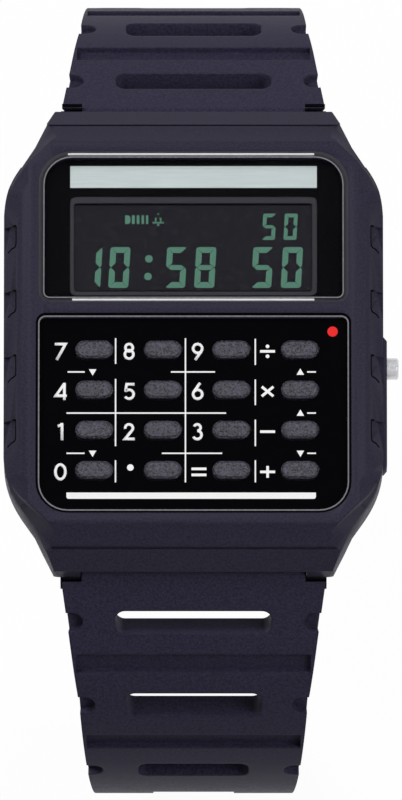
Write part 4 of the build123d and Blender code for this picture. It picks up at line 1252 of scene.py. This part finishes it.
class WATCH_OT_print_keypad(bpy.types.Operator):
    """Print the figures, signs, lines, white bar and red dot on the fascia"""

    bl_idname = "watch.print_keypad"
    bl_label = "Print the keypad"

    def execute(self, context):
        size = sizes()
        z0, z1 = PLATE_TOP, PLATE_TOP + size.ink_thickness
        ink = white_ink()
        dress(join("keypad_figures", key_figures(z0, z1) + key_signs(z0, z1)), ink, "case")
        dress(join("keypad_lines", key_lines(z0, z1)), ink, "case")
        left, right, middle = (place * MM for place in WHITE_BAR)
        half = size.bar_width / 2
        under = bar(left, right, middle - half, middle + half, z0, z1, 0.2 * MM, 3, lambda co: co.y < middle)
        dress(join("keypad_bar", [under]), ink, "case")
        x, y, radius = (place * MM for place in RED_DOT)
        dress(join("keypad_dot", [dot(x, y, z0, z1, radius)]), red_ink(), "case")
        return {"FINISHED"}


class WATCH_OT_polish_rims(bpy.types.Operator):
    """Line the window and the keypad with their rims, beads and glints: painted shade on the keypad's rim,
    painted highlights in the beads and glints
    """

    bl_idname = "watch.polish_rims"
    bl_label = "Polish the rims"

    def execute(self, context):
        dress(join("window_rim", [bevel_skin(WINDOW)]), smoked_edge(), "case")
        beads = [
            punched(opening_block(opening, outer, z0, z1), opening_block(opening, inner, z0 - 1, z1 + 1))
            for opening, outer, inner, z0, z1 in BEADS
        ]
        # The keypad's bevel gets a skin of near-black painted shade.
        dress(join("keypad_rim", [bevel_skin(KEYPAD)]), recess_shadow(), "case")
        # The beads are painted highlights, light grey with a real gloss.
        dress(join("opening_beads", beads), painted_bead_highlight(), "case")
        glints = [glint(*places) for places in GLINTS]
        # The glints are near-white painted highlights.
        dress(join("window_glints", glints), painted_glint(), "case")
        return {"FINISHED"}


class WATCH_OT_set_stage(bpy.types.Operator):
    """Set the pale floor, the soft lights, the white surroundings and the camera"""

    bl_idname = "watch.set_stage"
    bl_label = "Set the stage"

    def execute(self, context):
        lay_floor()
        white_surroundings()
        for lamp in LAMPS:
            soft_light(*lamp)
        aim_camera()
        return {"FINISHED"}


OPERATORS = (
    WATCH_OT_dress_frame,
    WATCH_OT_model_case,
    WATCH_OT_close_shoulders,
    WATCH_OT_fit_pane,
    WATCH_OT_light_display,
    WATCH_OT_paint_border_light,
    WATCH_OT_print_keypad,
    WATCH_OT_polish_rims,
    WATCH_OT_set_stage,
)


class WATCH_PT_panel(bpy.types.Panel):
    """Lists the steps that dress the watch, with its colours and sizes"""

    bl_label = "Calculator watch"
    bl_idname = "WATCH_PT_panel"
    bl_space_type = "VIEW_3D"
    bl_region_type = "UI"
    bl_category = "Watch"

    def draw(self, context):
        for operator in OPERATORS:
            self.layout.operator(operator.bl_idname)
        for group in (context.scene.watch_colours, context.scene.watch_print):
            for name in group.bl_rna.properties.keys():
                if name not in ("rna_type", "name"):
                    self.layout.prop(group, name)


CLASSES = (WatchColours, WatchPrint, *OPERATORS, WATCH_PT_panel)


def register():
    """Register the classes and hang the settings on the scene."""
    for made in CLASSES:
        bpy.utils.register_class(made)
    bpy.types.Scene.watch_colours = PointerProperty(type=WatchColours)
    bpy.types.Scene.watch_print = PointerProperty(type=WatchPrint)


def unregister():
    """Take the settings and the classes away again."""
    del bpy.types.Scene.watch_print
    del bpy.types.Scene.watch_colours
    for made in reversed(CLASSES):
        bpy.utils.unregister_class(made)


def main():
    """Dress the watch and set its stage."""
    register()
    for operator in OPERATORS:
        name = operator.bl_idname.removeprefix("watch.")
        getattr(bpy.ops.watch, name)()


if __name__ == "__main__":
    main()
